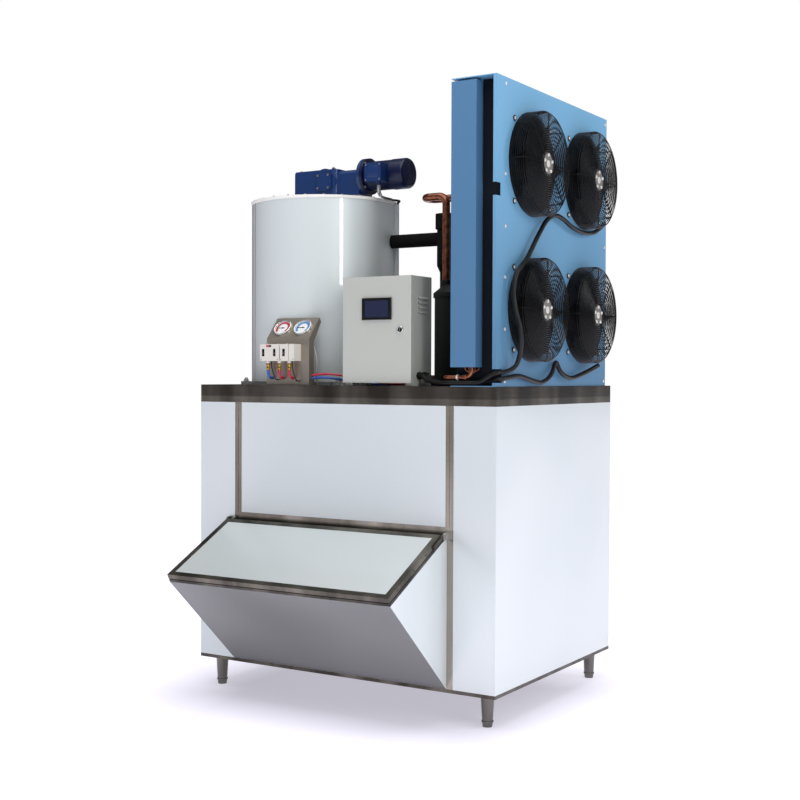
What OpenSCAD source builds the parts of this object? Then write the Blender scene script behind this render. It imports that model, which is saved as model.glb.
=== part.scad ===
// Flake ice machine: an insulated ice bin on four legs with a sloping lid. On its deck stand
// the freezing drum with its gearmotor, the control box, the gauges, the compressor and a
// condenser with four fans. Millimetres. X runs right along the front, Y back, Z up from the floor.

/* [Bin] */
// Width of the bin across the front
bin_w = 1220; // [1180:5:1280]
// Depth of the bin from its front panel to its back
bin_d = 930; // [900:5:1000]
// Height of the bin from its base strip to the top of the deck
bin_h = 1000; // [950:5:1100]
// Height of the legs under the base strip
leg_h = 105; // [85:1:140]
// Thickness of the foamed walls
wall_t = 50; // [42:1:58]
// Thickness of the foamed floor
floor_t = 50; // [40:1:70]
// Width of the fixed front panel left of the trim
stile_left_w = 160; // [145:1:175]
// Width of the fixed front panel right of the trim
stile_right_w = 155; // [140:1:165]
// Width of the polished trim strips
trim_w = 30; // [24:1:36]
// Height of the polished deck edge
deck_h = 41; // [32:1:50]
// Height of the rail under the deck
rail_h = 22; // [16:1:30]
// Height of the base strip
base_h = 12; // [8:1:20]
// Height of the upper front panel's lower edge over the base
panel_low = 542; // [530:1:570]
// Height of the crossbar under the upper front panel
crossbar_h = 40; // [34:1:50]
// Distance of the leg centres from the bin's sides
leg_inset = 56; // [45:1:70]
// Diameter of a leg at its top
leg_d_top = 46; // [42:1:56]
// Diameter of a leg at its lower end
leg_d_low = 36; // [32:1:40]
// Outside diameter of the drain pipe
drain_d = 34; // [28:1:42]

/* [Hopper and lid] */
// Distance of the hopper's left side from the bin's left side
hopper_x = 157; // [150:1:165]
// Width of the hopper and of its lid
hopper_w = 884; // [860:1:890]
// Reach of the hopper's front edge before the bin
hopper_reach = 345; // [300:1:380]
// Height of the hopper's front edge over the base
hopper_front_h = 333; // [310:1:345]
// Thickness of the hopper's walls
hopper_t = 20; // [14:1:28]
// Slope of the lid in degrees
lid_slope = 27; // [24:0.5:29]
// Thickness of the lid
lid_t = 17; // [14:1:22]
// Width of the lid's polished frame
lid_frame_w = 20; // [16:1:28]
// Thickness of the hopper's polished rim
rim_t = 10; // [8:1:14]
// Diameter of the lid's hinge pins
hinge_pin_d = 8; // [6:0.5:10]

/* [Freezing drum] */
// Distance of the drum's axis from the bin's left side
drum_x = 280; // [278:1:300]
// Distance of the drum's axis from the bin's front
drum_y = 388; // [386:1:400]
// Outside radius of the drum's jacket
drum_r = 275; // [265:1:276]
// Height of the drum from the deck to the top of its cover plate
drum_h = 685; // [660:5:760]
// Thickness of the foamed jacket
jacket_t = 39; // [30:1:44]
// Thickness of the freezing cylinder's double wall
cylinder_t = 20; // [14:1:26]
// Thickness of the drum's base ring
ring_t = 12; // [10:1:16]
// Thickness of the drum's cover plate
cover_t = 9; // [8:1:28]
// Diameter of the main shaft
shaft_d = 40; // [32:1:48]

/* [Gearmotor] */
// Length of the gear housing
gear_l = 203; // [190:1:230]
// Width of the gear housing from front to back
gear_w = 120; // [100:1:140]
// Height of the gear housing
gear_h = 120; // [88:1:130]
// Height of the motor's axis over the drum's cover
motor_axis_h = 89; // [70:1:100]
// Diameter of the motor's mounting flange
flange_d = 134; // [116:1:138]
// Diameter of the motor's body
motor_d = 108; // [96:1:112]
// Length of the motor's body
motor_l = 105; // [85:1:120]
// Length of the motor's cowl
cowl_l = 63; // [50:1:80]

/* [Control box] */
// Width of the control box
box_w = 274; // [250:1:290]
// Depth of the control box with its door
box_d = 134; // [120:1:140]
// Height of the control box over its feet
box_h = 360; // [340:1:420]
// Distance of the control box from the bin's left side
box_x = 612; // [600:1:620]
// Distance of the control box's door from the bin's front
box_y = 25; // [15:1:35]
// Depth of the door's folded tray
door_t = 15; // [12:1:18]
// Thickness of the box's sheet
box_sheet = 2; // [1.5:0.1:2.5]

/* [Gauge panel] */
// Distance of the gauge panel from the bin's left side
panel_x = 272; // [260:1:280]
// Distance of the gauge panel's face from the bin's front
panel_y = 40; // [36:1:42]
// Width of the gauge panel
panel_w = 186; // [180:1:200]
// Height of the gauge panel's upright face
panel_h = 165; // [155:1:180]
// Length of the sloping gauge face
slant_l = 98; // [92:1:100]
// Angle of the sloping gauge face from level, in degrees
slant_a = 50; // [46:1:56]
// Diameter of the gauges' bezels
gauge_d = 70; // [62:1:76]
// Distance between the gauges' centres
gauge_pitch = 88; // [80:1:94]

/* [Refrigeration] */
// Radius of the compressor
comp_r = 118; // [105:1:122]
// Height of the compressor
comp_h = 365; // [340:1:400]
// Distance from the compressor's axis to the condenser
comp_gap = 179; // [165:1:190]
// Distance of the compressor's axis from the bin's front
comp_y = 428; // [415:1:440]
// Diameter of the suction line with its insulation
suction_d = 50; // [42:1:54]
// Height of the suction line over the deck
suction_h = 533; // [500:1:560]
// Diameter of the copper discharge pipe
discharge_d = 28; // [22:1:32]
// Diameter of the copper liquid pipe
liquid_d = 14; // [10:1:16]

/* [Condenser] */
// Width of the condenser across its air path
cond_w = 165; // [155:1:175]
// Depth of the condenser from front to back
cond_d = 887; // [870:1:895]
// Height of the condenser over the deck
cond_h = 995; // [960:5:1060]
// Distance from the fan panel's face to the bin's right side
cond_inset = 4; // [0:1:8]
// Thickness of the condenser's sheet
cond_sheet = 3; // [2:0.5:4]
// Depth of the cover over the headers
header_d = 47; // [40:1:55]
// Width of the cover over the headers
header_w = 92; // [84:1:100]
// Distance between fan centres along the panel
fan_pitch_y = 424; // [412:1:430]
// Distance between fan centres up the panel
fan_pitch_z = 484; // [470:1:490]
// Radius of the fan openings
fan_hole_r = 155; // [152:1:160]
// Radius of the fan blades' tips
blade_r = 148; // [130:1:150]
// Radius of the fan guards
guard_r = 172; // [168:1:178]
// Depth of the fan guards before the panel
guard_d = 62; // [58:1:70]

/* [Water] */
// Width of the water tank
tank_w = 300; // [260:1:320]
// Depth of the water tank
tank_d = 170; // [150:1:180]
// Height of the water tank
tank_h = 220; // [180:1:260]

/* [Hidden] */
$fn = 48;

// Clearances
run_clear = 0.05;    // radial clearance of a shaft in its bore
seat = 0.3;          // gap between pieces that move past each other
cut = 1;             // how far a cutting shape runs past a face

// Levels
z_base = leg_h;
z_wall = z_base + base_h;
z_floor = z_wall + floor_t;
z_deck = z_base + bin_h;
z_tray = z_deck - deck_h;
z_rail = z_tray - rail_h;

// Legs, base and floor
foot_h = 20;
foot_d = 32;
foot_collar_h = 5;
foot_collar_d = leg_d_low + 4;
stem_d = 16;
stem_l = 40;
base_rail_w = leg_inset + leg_d_top / 2 + 11;
drain_wall = 3;
drain_drop = 45;
drain_back = 200;
back_lip = 5;

// Front opening
panel_x0 = stile_left_w + trim_w;
panel_x1 = bin_w - stile_right_w - trim_w;
panel_z = z_base + panel_low;
bar_z = panel_z - crossbar_h;
groove_w = 2;
groove_d = 1.5;

// Hopper and lid, in the frame of the sloping rim: u runs up the slope, n out of it
rim_z = z_base + hopper_front_h;
rim_w = hopper_t;
rim_l = hopper_reach / cos(lid_slope);
lid_back_gap = 32;
lid_l = rim_l - lid_back_gap;
gasket_gap = 3;
gasket_w = 12;
gasket_in = 4;
lid_n = rim_t + gasket_gap;
lid_lap = 10;
panel_sink = 1;
pivot_u = lid_l + 13.5;
pivot_n = lid_n + 3;
pivot_y = -hopper_reach + pivot_u * cos(lid_slope) - pivot_n * sin(lid_slope);
pivot_z = rim_z + pivot_u * sin(lid_slope) + pivot_n * cos(lid_slope);
arm_t = 5;
arm_r = 9;
arm_l = 60;
arm_h_flat = lid_t / 2 + 3;
ear_gap = 0.5;
ear_t = 4;
ear_r = 12;
ear_foot_w = 16;
ear_foot_t = 3;
lid_front_y = -hopper_reach - (lid_n + lid_t) * sin(lid_slope);

// Drum
jacket_in = drum_r - jacket_t;
cylinder_gap = 0.3;
cylinder_out = jacket_in - cylinder_gap;
cylinder_in = cylinder_out - cylinder_t;
ledge = 10;
drop_r = cylinder_in - ledge;
z_ring = z_deck + ring_t;
z_drum = z_deck + drum_h;
z_cover = z_drum - cover_t;
cover_lip = 3;
lug_r = drum_r + 40;
lug_w = 50;
lug_bolt_d = 12;
duct_w = 24;
duct_t = 12;
duct_a = 19;
shaft_r = shaft_d / 2;
hub_r = shaft_r + 14;
hub_h = 43;
hub_floor = 5;
bridge_arm_w = 16;
shaft_z = z_ring + hub_floor + seat;
shaft_in_gear = 80;
pan_r = cylinder_in - 26;
pan_h = 40;
pan_t = 4;
pan_drop = 85;
roller_r = 25;
roller_gap = 1.5;
roller_x = cylinder_in - roller_gap - roller_r;
roller_groove = 5;
roller_ridges = 18;
journal_r = 10;
arm_w = 40;
arm_h = 20;
arm_low_gap = 15;
arm_high_gap = 45;
arm_low_z = z_ring + hub_h + arm_low_gap;
arm_high_z = z_cover - pan_drop - arm_high_gap;
wiper_t = 8;
wiper_gap = 2;

// Gearmotor, from the drum's axis at the top of its cover
gear_left = 108;
gear_right = gear_l - gear_left;
gear_corner = 22;
gear_shoulder = 25;
dome_x = 40;
dome_z = 74;
dome_r = 50;
cap_w = 66;
cap_t = 8;
cap_corner = 12;
cap_bolt = 23.5;
cap_bolt_d = 9;
cap_bolt_h = 4;
input_l = 90;
input_w = 90;
input_low = 20;
input_h = 94;
input_chamfer = 12;
flange_t = 12;
flange_x = gear_right + input_l;
motor_x = flange_x + 2 * flange_t;
cowl_x = motor_x + motor_l;
cowl_lip = 2;
cowl_edge = 9;
cowl_wall = 3;
cowl_grooves = 4;
breather_d = 14;
breather_h = 10;
tbox_w = 70;
tbox_h = 66;
tbox_t = 40;
tbox_gap = 3;
tbox_x = cowl_x - tbox_w - tbox_gap;
gland_d = 16;
gland_l = 14;
gland_in = 20;

// Control box
box_feet = 10;
box_foot_w = 30;
z_box = z_deck + box_feet;
box_front = box_y + door_t;
box_back = box_y + box_d;
door_gap = 0.5;
keeper_w = 12;
knuckle_r = 5;
knuckle_pin_r = 3;
knuckle_l = 24;
knuckle_off = 5.5;
leaf_l = 30;
hinge_in = 60;
hinge_heights = [hinge_in, box_h - hinge_in - 2 * knuckle_l];
lock_in = 41;
lock_z = z_box + 0.5 * box_h - 1;
lock_r = 12;
lock_proud = 5;
barrel_r = 9;
cam_l = 32;
cam_w = 14;
cam_t = 3;
cam_gap = 0.6;
screen_w = 116;
screen_h = 74;
screen_t = 6;
screen_in = 82;
screen_drop = 147;
screen_x = box_x + screen_in;
screen_z = z_box + box_h - screen_drop;
screen_back = 34;
screen_lip = 6;
louvre_n = 4;
louvre_l = 58;
louvre_h = 8;
louvre_pitch = 16;
louvre_in = 32;
louvre_drop = 125;
louvre_z = box_h - louvre_drop;
plate_in = 20;
plate_t = 2;
plate_gap = 6;
contactor_w = 46;
contactor_h = 76;
contactor_t = 46;
contactor_n = 4;

// Gauge panel
bracket_t = 3;
bracket_side = 30;
slant_y = panel_y + slant_l * cos(slant_a);
slant_z = z_deck + panel_h + slant_l * sin(slant_a);
gauge_lip = 5;
gauge_body_d = gauge_d - 2 * gauge_lip;
gauge_body_t = 19;
bezel_t = 6;
bezel_w = 4;
dial_d = gauge_d - 2 * bezel_w;
dial_depth = 3.5;
needle_l = 24;
needle_tail = 8;
needle_w = 2.4;
needle_t = 0.8;
needle_pin_r = 1.5;
needle_lift = 1;
switch_lift = 85;
switch_z = z_deck + switch_lift;
switch_h = 60;
switch_t = 40;
switch_1_w = 84;
switch_2_w = 63;
switch_gap = 4;
switch_2_x = switch_1_w + switch_gap;
windows_1 = [10, switch_1_w - 25];
windows_2 = [12];
stubs_1 = [22, switch_1_w - 12];
stubs_2 = [28];
window_w = 9;
window_h = 26;
window_d = 2;
stub_d = 14;
stub_h = 8;
fitting_d = 13;
fitting_h = 22;
hose_d = 8;
hose_drop = 27;

// Refrigeration
cond_x1 = bin_w - cond_inset;
cond_x0 = cond_x1 - cond_w;
comp_x = cond_x0 - comp_gap;
comp_plate_edge = 5;
comp_plate_w = 2 * (comp_r + comp_plate_edge);
comp_plate_t = 8;
comp_dome = 30;
comp_bead = 5;
riser_left = 87;
riser_back = 12;
riser_x = comp_x - riser_left;
riser_y = comp_y + riser_back;
riser_d = 72;
riser_collar_d = 84;
riser_collar_h = 54;
riser_over = 88;
riser_under = 98;
riser_taper = 25;
riser_top = suction_h + riser_over;
riser_low = suction_h - riser_under;
stub_proud = 12;
stub_wall = 4;
stub_top = comp_h + stub_proud;
z_suction = z_deck + suction_h;
lift_left = 60;
lift_front = 41;
lift_x = comp_x - lift_left;
lift_y = comp_y - lift_front;
lift_top = 680;
loop_l = 97;
loop_x = lift_x - loop_l;
loop_w = 62;
pipe_bend = 30;
coil_in = 10;
coil_t = 70;
coil_x0 = cond_x0 + coil_in;
liquid_y = header_d / 2;
liquid_h = 30;
liquid_gap = 41;
liquid_behind = 55;
liquid_x = cond_x0 - liquid_gap;
liquid_back = comp_y + comp_r + liquid_behind;
liquid_bend = 24;
drier_d = 44;
drier_l = 120;
drier_left = 80;
drier_x = riser_x - drier_left;

// Condenser
z_cond = z_deck + cond_h;
header_low = 63;
header_top = 10;
header_room = cond_h - header_low - header_top;
header_sheet = 2;
header_pipe_d = 22;
header_stub_d = 10;
header_stub_n = 6;
stub_in = 60;
header_end = 25;
panel_lip = 12;
bell_l = 22;
bell_t = 3;
fan_back = 26;
fan_y = cond_d / 2 + fan_back;
fan_z = z_deck + cond_h / 2 - 0.5;
notch_h = 42;
notch_y = 33;
notch_z = 610;
cable_notch_h = 44;
cable_notch_z = 13;
guard_wire = 3;
guard_rings = 8;
guard_ring_step = 15;
guard_side_rings = 5;
guard_spokes = 8;
guard_foot_r = 190;
guard_foot_w = 18;
guard_foot_hole = 6;
stator_r = 39;
stator_t = 6;
spindle_r = 8;
can_r = 47;
can_back = 28;
can_gap = 6;
can_front = guard_d - guard_wire - stator_t - can_gap;
fan_blades = 5;
blade_t = 3;
blade_curve = 120;
blade_low = -15;
blade_chord = 90;

// Water
tank_x = drum_x - tank_w / 2;
tank_y = (drum_y + drum_r + bin_d - tank_d) / 2;
tank_sheet = 3;
tank_vent_d = 40;
inlet_r = 10.5;
inlet_l = 25;
water_d = 22;
water_bend = 30;
water_top = 60;

// The origin is under the middle of the whole machine, on the floor
guard_front = cond_x1 + guard_d;
mid_x = guard_front / 2;
mid_y = (lid_front_y + bin_d) / 2;

// Routes of the fan leads over the fan panel, from its front lower corner on the deck
upper_run = [
    [32, 794, 594], [20, 742, 562], [18, 691, 552], [20, 619, 549], [22, 528, 559],
    [22, 458, 578], [22, 390, 584], [22, 325, 560], [22, 261, 505], [24, 183, 430],
    [30, 122, 394], [29, 88, 366], [28, 74, 333], [29, 68, 295], [34, 68, 262],
    [40, 74, 225], [50, 75, 188], [50, 82, 151], [39, 95, 108], [29, 92, 73],
    [20, 68, 55], [6, 40, 47], [-9, 24, 44], [-31, 18, 33], [-66, 14, 14],
    [-116, 12, 12], [-176, 14, 12]
];
lower_run = [
    [42, 725, 75], [28, 682, 57], [20, 612, 39], [22, 536, 29], [22, 480, 36],
    [20, 443, 53], [16, 417, 82], [18, 386, 50], [20, 349, 28], [20, 297, 14],
    [18, 250, 17], [18, 187, 27], [16, 130, 35], [11, 80, 31], [6, 38, 26],
    [-10, 28, 23], [-36, 34, 16], [-96, 34, 12], [-176, 36, 12]
];
// Their ends at the control box: X is a share of the way from the box to the condenser
upper_end = [[0.63, 5, 11], [0.33, 33, 19], [0.09, 47, 35]];
lower_end = [[0.57, 39, 11], [0.27, 71, 19], [0.09, 83, 35]];
lead_d = 16;
// Route of the motor's cable from its gland over the drum's cover, then its drop into the duct
motor_run = [
    [291, -74, 41.7], [291, -74, 30], [288, -66, 16], [280, -44, 7.5], [272, -6, 6], [269, 40, 6],
    [264, 66, 6]
];
motor_drop = [[15, 5], [10, -2], [10, seat - cover_t]];
motor_lead_d = 9;

// A square with true arcs at its corners, centred
module round_square(size, r) {
    square([size.x - 2 * r, size.y], center = true);
    square([size.x, size.y - 2 * r], center = true);
    for (x = [-1, 1], y = [-1, 1])
        translate([x * (size.x / 2 - r), y * (size.y / 2 - r)]) circle(r);
}

// A shape drawn in Y and Z and stretched along X
module along_x(length) {
    rotate([90, 0, 90]) linear_extrude(length) children();
}

// A round bar from one point to another
module bar(p, q, d) {
    v = q - p;
    translate(p)
        rotate([0, acos(v.z / norm(v)), atan2(v.y, v.x)])
            cylinder(h = norm(v), d = d);
}

function unit(v) = v / norm(v);

// How much of a straight run a bend between two directions takes
function bend_cut(a, b, r) = r * tan(acos(a * b) / 2);

// A bend at point p from direction a to direction b
module elbow(p, a, b, r, d) {
    c = unit(cross(a, b));
    e = cross(c, a);
    t = bend_cut(a, b, r);
    multmatrix([
        [a.x, e.x, c.x, p.x],
        [a.y, e.y, c.y, p.y],
        [a.z, e.z, c.z, p.z],
        [0, 0, 0, 1]
    ])
        translate([-t, r, 0])
            rotate(-90)
                rotate_extrude(angle = acos(a * b)) translate([r, 0]) circle(d = d);
}

// A bent pipe through a list of corner points
module pipe(points, r, d) {
    n = len(points);
    dirs = [for (i = [0 : n - 2]) unit(points[i + 1] - points[i])];
    cuts = [
        0,
        for (i = [1 : 1 : n - 2]) bend_cut(dirs[i - 1], dirs[i], r),
        0
    ];
    for (i = [0 : n - 2])
        bar(points[i] + cuts[i] * dirs[i], points[i + 1] - cuts[i + 1] * dirs[i], d);
    for (i = [1 : 1 : n - 2])
        elbow(points[i], dirs[i - 1], dirs[i], r, d);
}

// Swept tube for leads: directions, carried normals, rings and the faces between them
function lead_dirs(p) = [
    for (i = [0 : len(p) - 1])
        unit(p[min(i + 1, len(p) - 1)] - p[max(i - 1, 0)])
];
function flat_on(v, t) = unit(v - (v * t) * t);
function lead_normals(t) = [
    for (i = 0, v = flat_on([0.3, 0.2, 1], t[0]); i < len(t);
        i = i + 1, v = i < len(t) ? flat_on(v, t[i]) : v) v
];
module lead(p, d, sides = 10) {
    t = lead_dirs(p);
    v = lead_normals(t);
    n = len(p);
    points = [
        for (i = [0 : n - 1], k = [0 : sides - 1])
            p[i] + d / 2 * (cos(360 * k / sides) * v[i] + sin(360 * k / sides) * cross(t[i], v[i]))
    ];
    sleeve = [
        for (i = [0 : n - 2], k = [0 : sides - 1])
            [i * sides + k, (i + 1) * sides + k,
             (i + 1) * sides + (k + 1) % sides, i * sides + (k + 1) % sides]
    ];
    first = [for (k = [0 : sides - 1]) k];
    last = [for (k = [sides - 1 : -1 : 0]) (n - 1) * sides + k];
    polyhedron(points, concat([first], sleeve, [last]));
}

// From the bin's front left corner to the origin of the machine
module place() {
    translate([-mid_x, -mid_y, 0]) children();
}

module at_legs() {
    for (x = [leg_inset, bin_w - leg_inset], y = [leg_inset, bin_d - leg_inset])
        translate([x, y, 0]) children();
}

module legs() {
    color([0.45, 0.45, 0.44]) place() at_legs() difference() {
        translate([0, 0, foot_h]) cylinder(h = leg_h - foot_h, d1 = leg_d_low, d2 = leg_d_top);
        translate([0, 0, foot_h - cut]) cylinder(h = stem_l + cut + seat, d = stem_d + 2 * run_clear);
    }
}

module leveling_feet() {
    color([0.3, 0.3, 0.3]) place() at_legs() {
        cylinder(h = foot_h - foot_collar_h, d1 = foot_d, d2 = leg_d_low);
        translate([0, 0, foot_h - foot_collar_h]) cylinder(h = foot_collar_h, d = foot_collar_d);
        translate([0, 0, foot_h - foot_collar_h]) cylinder(h = foot_collar_h + stem_l, d = stem_d);
    }
}

module rectangle_ring(width, height) {
    difference() {
        cube([bin_w, bin_d, height]);
        translate([width, width, -cut])
            cube([bin_w - 2 * width, bin_d - 2 * width, height + 2 * cut]);
    }
}

module base_frame() {
    color([0.4, 0.38, 0.35]) place() translate([0, 0, z_base]) rectangle_ring(base_rail_w, base_h);
}

module bin_floor() {
    drain_z = z_base - drain_drop;
    color([0.8, 0.81, 0.82]) place() difference() {
        union() {
            translate([0, 0, z_wall]) linear_extrude(floor_t) polygon([
                [wall_t, wall_t], [panel_x0, wall_t], [panel_x0, 0], [panel_x1, 0],
                [panel_x1, wall_t], [bin_w - wall_t, wall_t],
                [bin_w - wall_t, bin_d - wall_t], [wall_t, bin_d - wall_t]
            ]);
            translate([bin_w / 2, bin_d - drain_back, drain_z])
                cylinder(h = z_floor - drain_z, d = drain_d);
        }
        translate([bin_w / 2, bin_d - drain_back, drain_z - cut])
            cylinder(h = z_floor - drain_z + 2 * cut, d = drain_d - 2 * drain_wall);
    }
}

// A foamed side folded round the front corner into the fixed front panel
module corner_wall(stile) {
    translate([0, 0, z_wall]) linear_extrude(z_rail - z_wall) polygon([
        [0, 0], [stile, 0], [stile, wall_t], [wall_t, wall_t],
        [wall_t, bin_d - back_lip], [0, bin_d - back_lip]
    ]);
}

module left_wall() {
    color([0.82, 0.85, 0.88]) place() corner_wall(stile_left_w);
}

module right_wall() {
    color([0.88, 0.91, 0.94]) place() translate([bin_w, 0, 0]) mirror([1, 0, 0]) corner_wall(stile_right_w);
}

module back_wall() {
    color([0.7, 0.72, 0.74]) place() translate([0, 0, z_wall]) linear_extrude(z_rail - z_wall) polygon([
        [0, bin_d - back_lip], [wall_t, bin_d - back_lip], [wall_t, bin_d - wall_t],
        [bin_w - wall_t, bin_d - wall_t], [bin_w - wall_t, bin_d - back_lip],
        [bin_w, bin_d - back_lip], [bin_w, bin_d], [0, bin_d]
    ]);
}

module front_panel() {
    color([0.8, 0.83, 0.86]) place()
        translate([panel_x0, 0, panel_z]) cube([panel_x1 - panel_x0, wall_t, z_rail - panel_z]);
}

module front_trim() {
    color([0.35, 0.33, 0.3]) place() {
        difference() {
            union() {
                for (x = [stile_left_w, panel_x1])
                    translate([x, 0, z_wall]) cube([trim_w, wall_t, z_rail - z_wall]);
                translate([panel_x0, 0, bar_z]) cube([panel_x1 - panel_x0, wall_t, crossbar_h]);
            }
            for (x = [stile_left_w, panel_x1])
                translate([x + (trim_w - groove_w) / 2, -cut, panel_z])
                    cube([groove_w, groove_d + cut, z_rail - panel_z + cut]);
        }
    }
}

module top_rail() {
    color([0.4, 0.38, 0.35]) place() translate([0, 0, z_rail]) rectangle_ring(wall_t, rail_h);
}

module deck() {
    color([0.42, 0.4, 0.37]) place() translate([0, 0, z_tray]) difference() {
        cube([bin_w, bin_d, deck_h]);
        translate([drum_x, drum_y, -cut]) cylinder(h = deck_h + 2 * cut, r = drop_r, $fn = 96);
    }
}

module hopper() {
    drop = rim_z - z_wall;
    fall = norm([hopper_reach, drop]);
    inward = hopper_t * [drop, hopper_reach] / fall;
    side = [[0, z_wall], [-hopper_reach, rim_z], [0, rim_z + hopper_reach * tan(lid_slope)]];
    color([0.62, 0.62, 0.62]) place() translate([hopper_x, 0, 0]) difference() {
        along_x(hopper_w) polygon(side);
        translate([hopper_t, 0, 0]) along_x(hopper_w - 2 * hopper_t)
            polygon([for (p = side) p + inward]);
    }
}

module on_rim() {
    translate([hopper_x, -hopper_reach, rim_z]) rotate([lid_slope, 0, 0]) children();
}

module hopper_rim() {
    mouth_l = lid_l - lid_lap - rim_w;
    color([0.4, 0.38, 0.35]) place() intersection() {
        on_rim() difference() {
            cube([hopper_w, rim_l + rim_t, rim_t]);
            translate([rim_w, rim_w, -cut]) cube([hopper_w - 2 * rim_w, mouth_l, rim_t + 2 * cut]);
        }
        translate([0, -2 * hopper_reach, 0]) cube([bin_w, 2 * hopper_reach, z_deck]);
    }
}

// Both ends of the hopper, the left one mirrored from the right one
module at_lid_ends() {
    for (s = [0, 1])
        translate([hopper_x + hopper_w / 2, 0, 0]) mirror([s, 0, 0]) translate([hopper_w / 2, 0, 0])
            children();
}

module lid_ears() {
    ear_x = arm_t + ear_gap;
    color([0.75, 0.75, 0.74]) place() at_lid_ends() {
        translate([ear_x, pivot_y, pivot_z - ear_r]) cube([ear_t, -pivot_y, 2 * ear_r]);
        translate([ear_x, pivot_y, pivot_z]) rotate([0, 90, 0]) cylinder(h = ear_t, r = ear_r);
        translate([ear_x, -ear_foot_t, pivot_z - ear_r]) cube([ear_foot_w, ear_foot_t, 2 * ear_r]);
        translate([seat, pivot_y, pivot_z]) rotate([0, 90, 0])
            cylinder(h = ear_x + ear_t - seat, d = hinge_pin_d);
    }
}

module lid_arm() {
    difference() {
        union() {
            along_x(arm_t) translate([lid_l - arm_l, lid_n]) square([pivot_u - lid_l + arm_l, arm_h_flat]);
            along_x(arm_t) translate([pivot_u, pivot_n]) circle(arm_r);
        }
        translate([-cut, pivot_u, pivot_n]) rotate([0, 90, 0])
            cylinder(h = arm_t + 2 * cut, d = hinge_pin_d + 2 * run_clear);
    }
}

module lid_frame() {
    color([0.45, 0.43, 0.4]) place() on_rim() {
        translate([0, 0, lid_n]) difference() {
            cube([hopper_w, lid_l, lid_t]);
            translate([lid_frame_w, lid_frame_w, -cut])
                cube([hopper_w - 2 * lid_frame_w, lid_l - 2 * lid_frame_w, lid_t + 2 * cut]);
        }
        for (s = [0, 1])
            translate([hopper_w / 2, 0, 0]) mirror([s, 0, 0]) translate([hopper_w / 2, 0, 0]) lid_arm();
    }
}

module lid_panel() {
    color([0.83, 0.86, 0.89]) place() on_rim() translate([lid_frame_w, lid_frame_w, lid_n])
        cube([hopper_w - 2 * lid_frame_w, lid_l - 2 * lid_frame_w, lid_t - panel_sink]);
}

module lid_gasket() {
    inner = gasket_in + gasket_w;
    color([0.08, 0.08, 0.08]) place() on_rim() translate([0, 0, rim_t + seat]) difference() {
        translate([gasket_in, gasket_in, 0])
            cube([hopper_w - 2 * gasket_in, lid_l - 2 * gasket_in, gasket_gap - seat]);
        translate([inner, inner, -cut])
            cube([hopper_w - 2 * inner, lid_l - 2 * inner, gasket_gap + 2 * cut]);
    }
}

module at_drum(z = 0) {
    translate([drum_x, drum_y, z]) children();
}

module drum_base_ring() {
    color([0.7, 0.7, 0.68]) place() at_drum(z_deck) difference() {
        union() {
            cylinder(h = ring_t, r = drum_r, $fn = 96);
            for (a = [45 : 90 : 315]) rotate(a)
                translate([drum_r - lug_w / 2, -lug_w / 2, 0])
                    cube([lug_r - drum_r + lug_w / 2, lug_w, ring_t]);
        }
        translate([0, 0, -cut]) cylinder(h = ring_t + 2 * cut, r = drop_r, $fn = 96);
        for (a = [45 : 90 : 315]) rotate(a)
            translate([lug_r - lug_w / 3, 0, -cut]) cylinder(h = ring_t + 2 * cut, d = lug_bolt_d);
    }
}

module drum_jacket() {
    color([0.84, 0.87, 0.89]) place() at_drum(z_ring) difference() {
        union() {
            cylinder(h = z_cover - z_ring, r = drum_r, $fn = 96);
            rotate(duct_a) translate([drum_r - duct_t, -duct_w / 2, 0])
                cube([2 * duct_t, duct_w, z_cover - z_ring]);
        }
        translate([0, 0, -cut]) cylinder(h = z_cover - z_ring + 2 * cut, r = jacket_in, $fn = 96);
    }
}

module freezing_cylinder() {
    color([0.6, 0.62, 0.64]) place() at_drum(z_ring) difference() {
        cylinder(h = z_cover - z_ring, r = cylinder_out, $fn = 96);
        translate([0, 0, -cut]) cylinder(h = z_cover - z_ring + 2 * cut, r = cylinder_in, $fn = 96);
    }
}

module drum_cover() {
    color([0.84, 0.84, 0.8]) place() at_drum(z_cover) difference() {
        cylinder(h = cover_t, r = drum_r + cover_lip, $fn = 96);
        translate([0, 0, -cut]) cylinder(h = cover_t + 2 * cut, r = shaft_r + run_clear);
    }
}

module bearing_bridge() {
    color([0.5, 0.5, 0.5]) place() at_drum(z_ring) difference() {
        union() {
            cylinder(h = hub_h, r = hub_r);
            for (a = [30, 150, 270]) rotate(a) translate([0, -bridge_arm_w / 2, 0])
                cube([cylinder_in - ledge / 4, bridge_arm_w, ring_t]);
        }
        translate([0, 0, hub_floor]) cylinder(h = hub_h, r = shaft_r + run_clear);
    }
}

module main_shaft() {
    color([0.65, 0.65, 0.66]) place() at_drum(shaft_z)
        cylinder(h = z_drum + shaft_in_gear - shaft_z, r = shaft_r);
}

module water_pan() {
    color([0.7, 0.7, 0.7]) place() at_drum(z_cover - pan_drop) rotate_extrude($fn = 96) polygon([
        [shaft_r + run_clear, 0], [pan_r, 0], [pan_r, pan_h], [pan_r - pan_t, pan_h],
        [pan_r - pan_t, pan_t], [hub_r, pan_t], [hub_r, pan_h], [shaft_r + run_clear, pan_h]
    ]);
}

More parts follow.
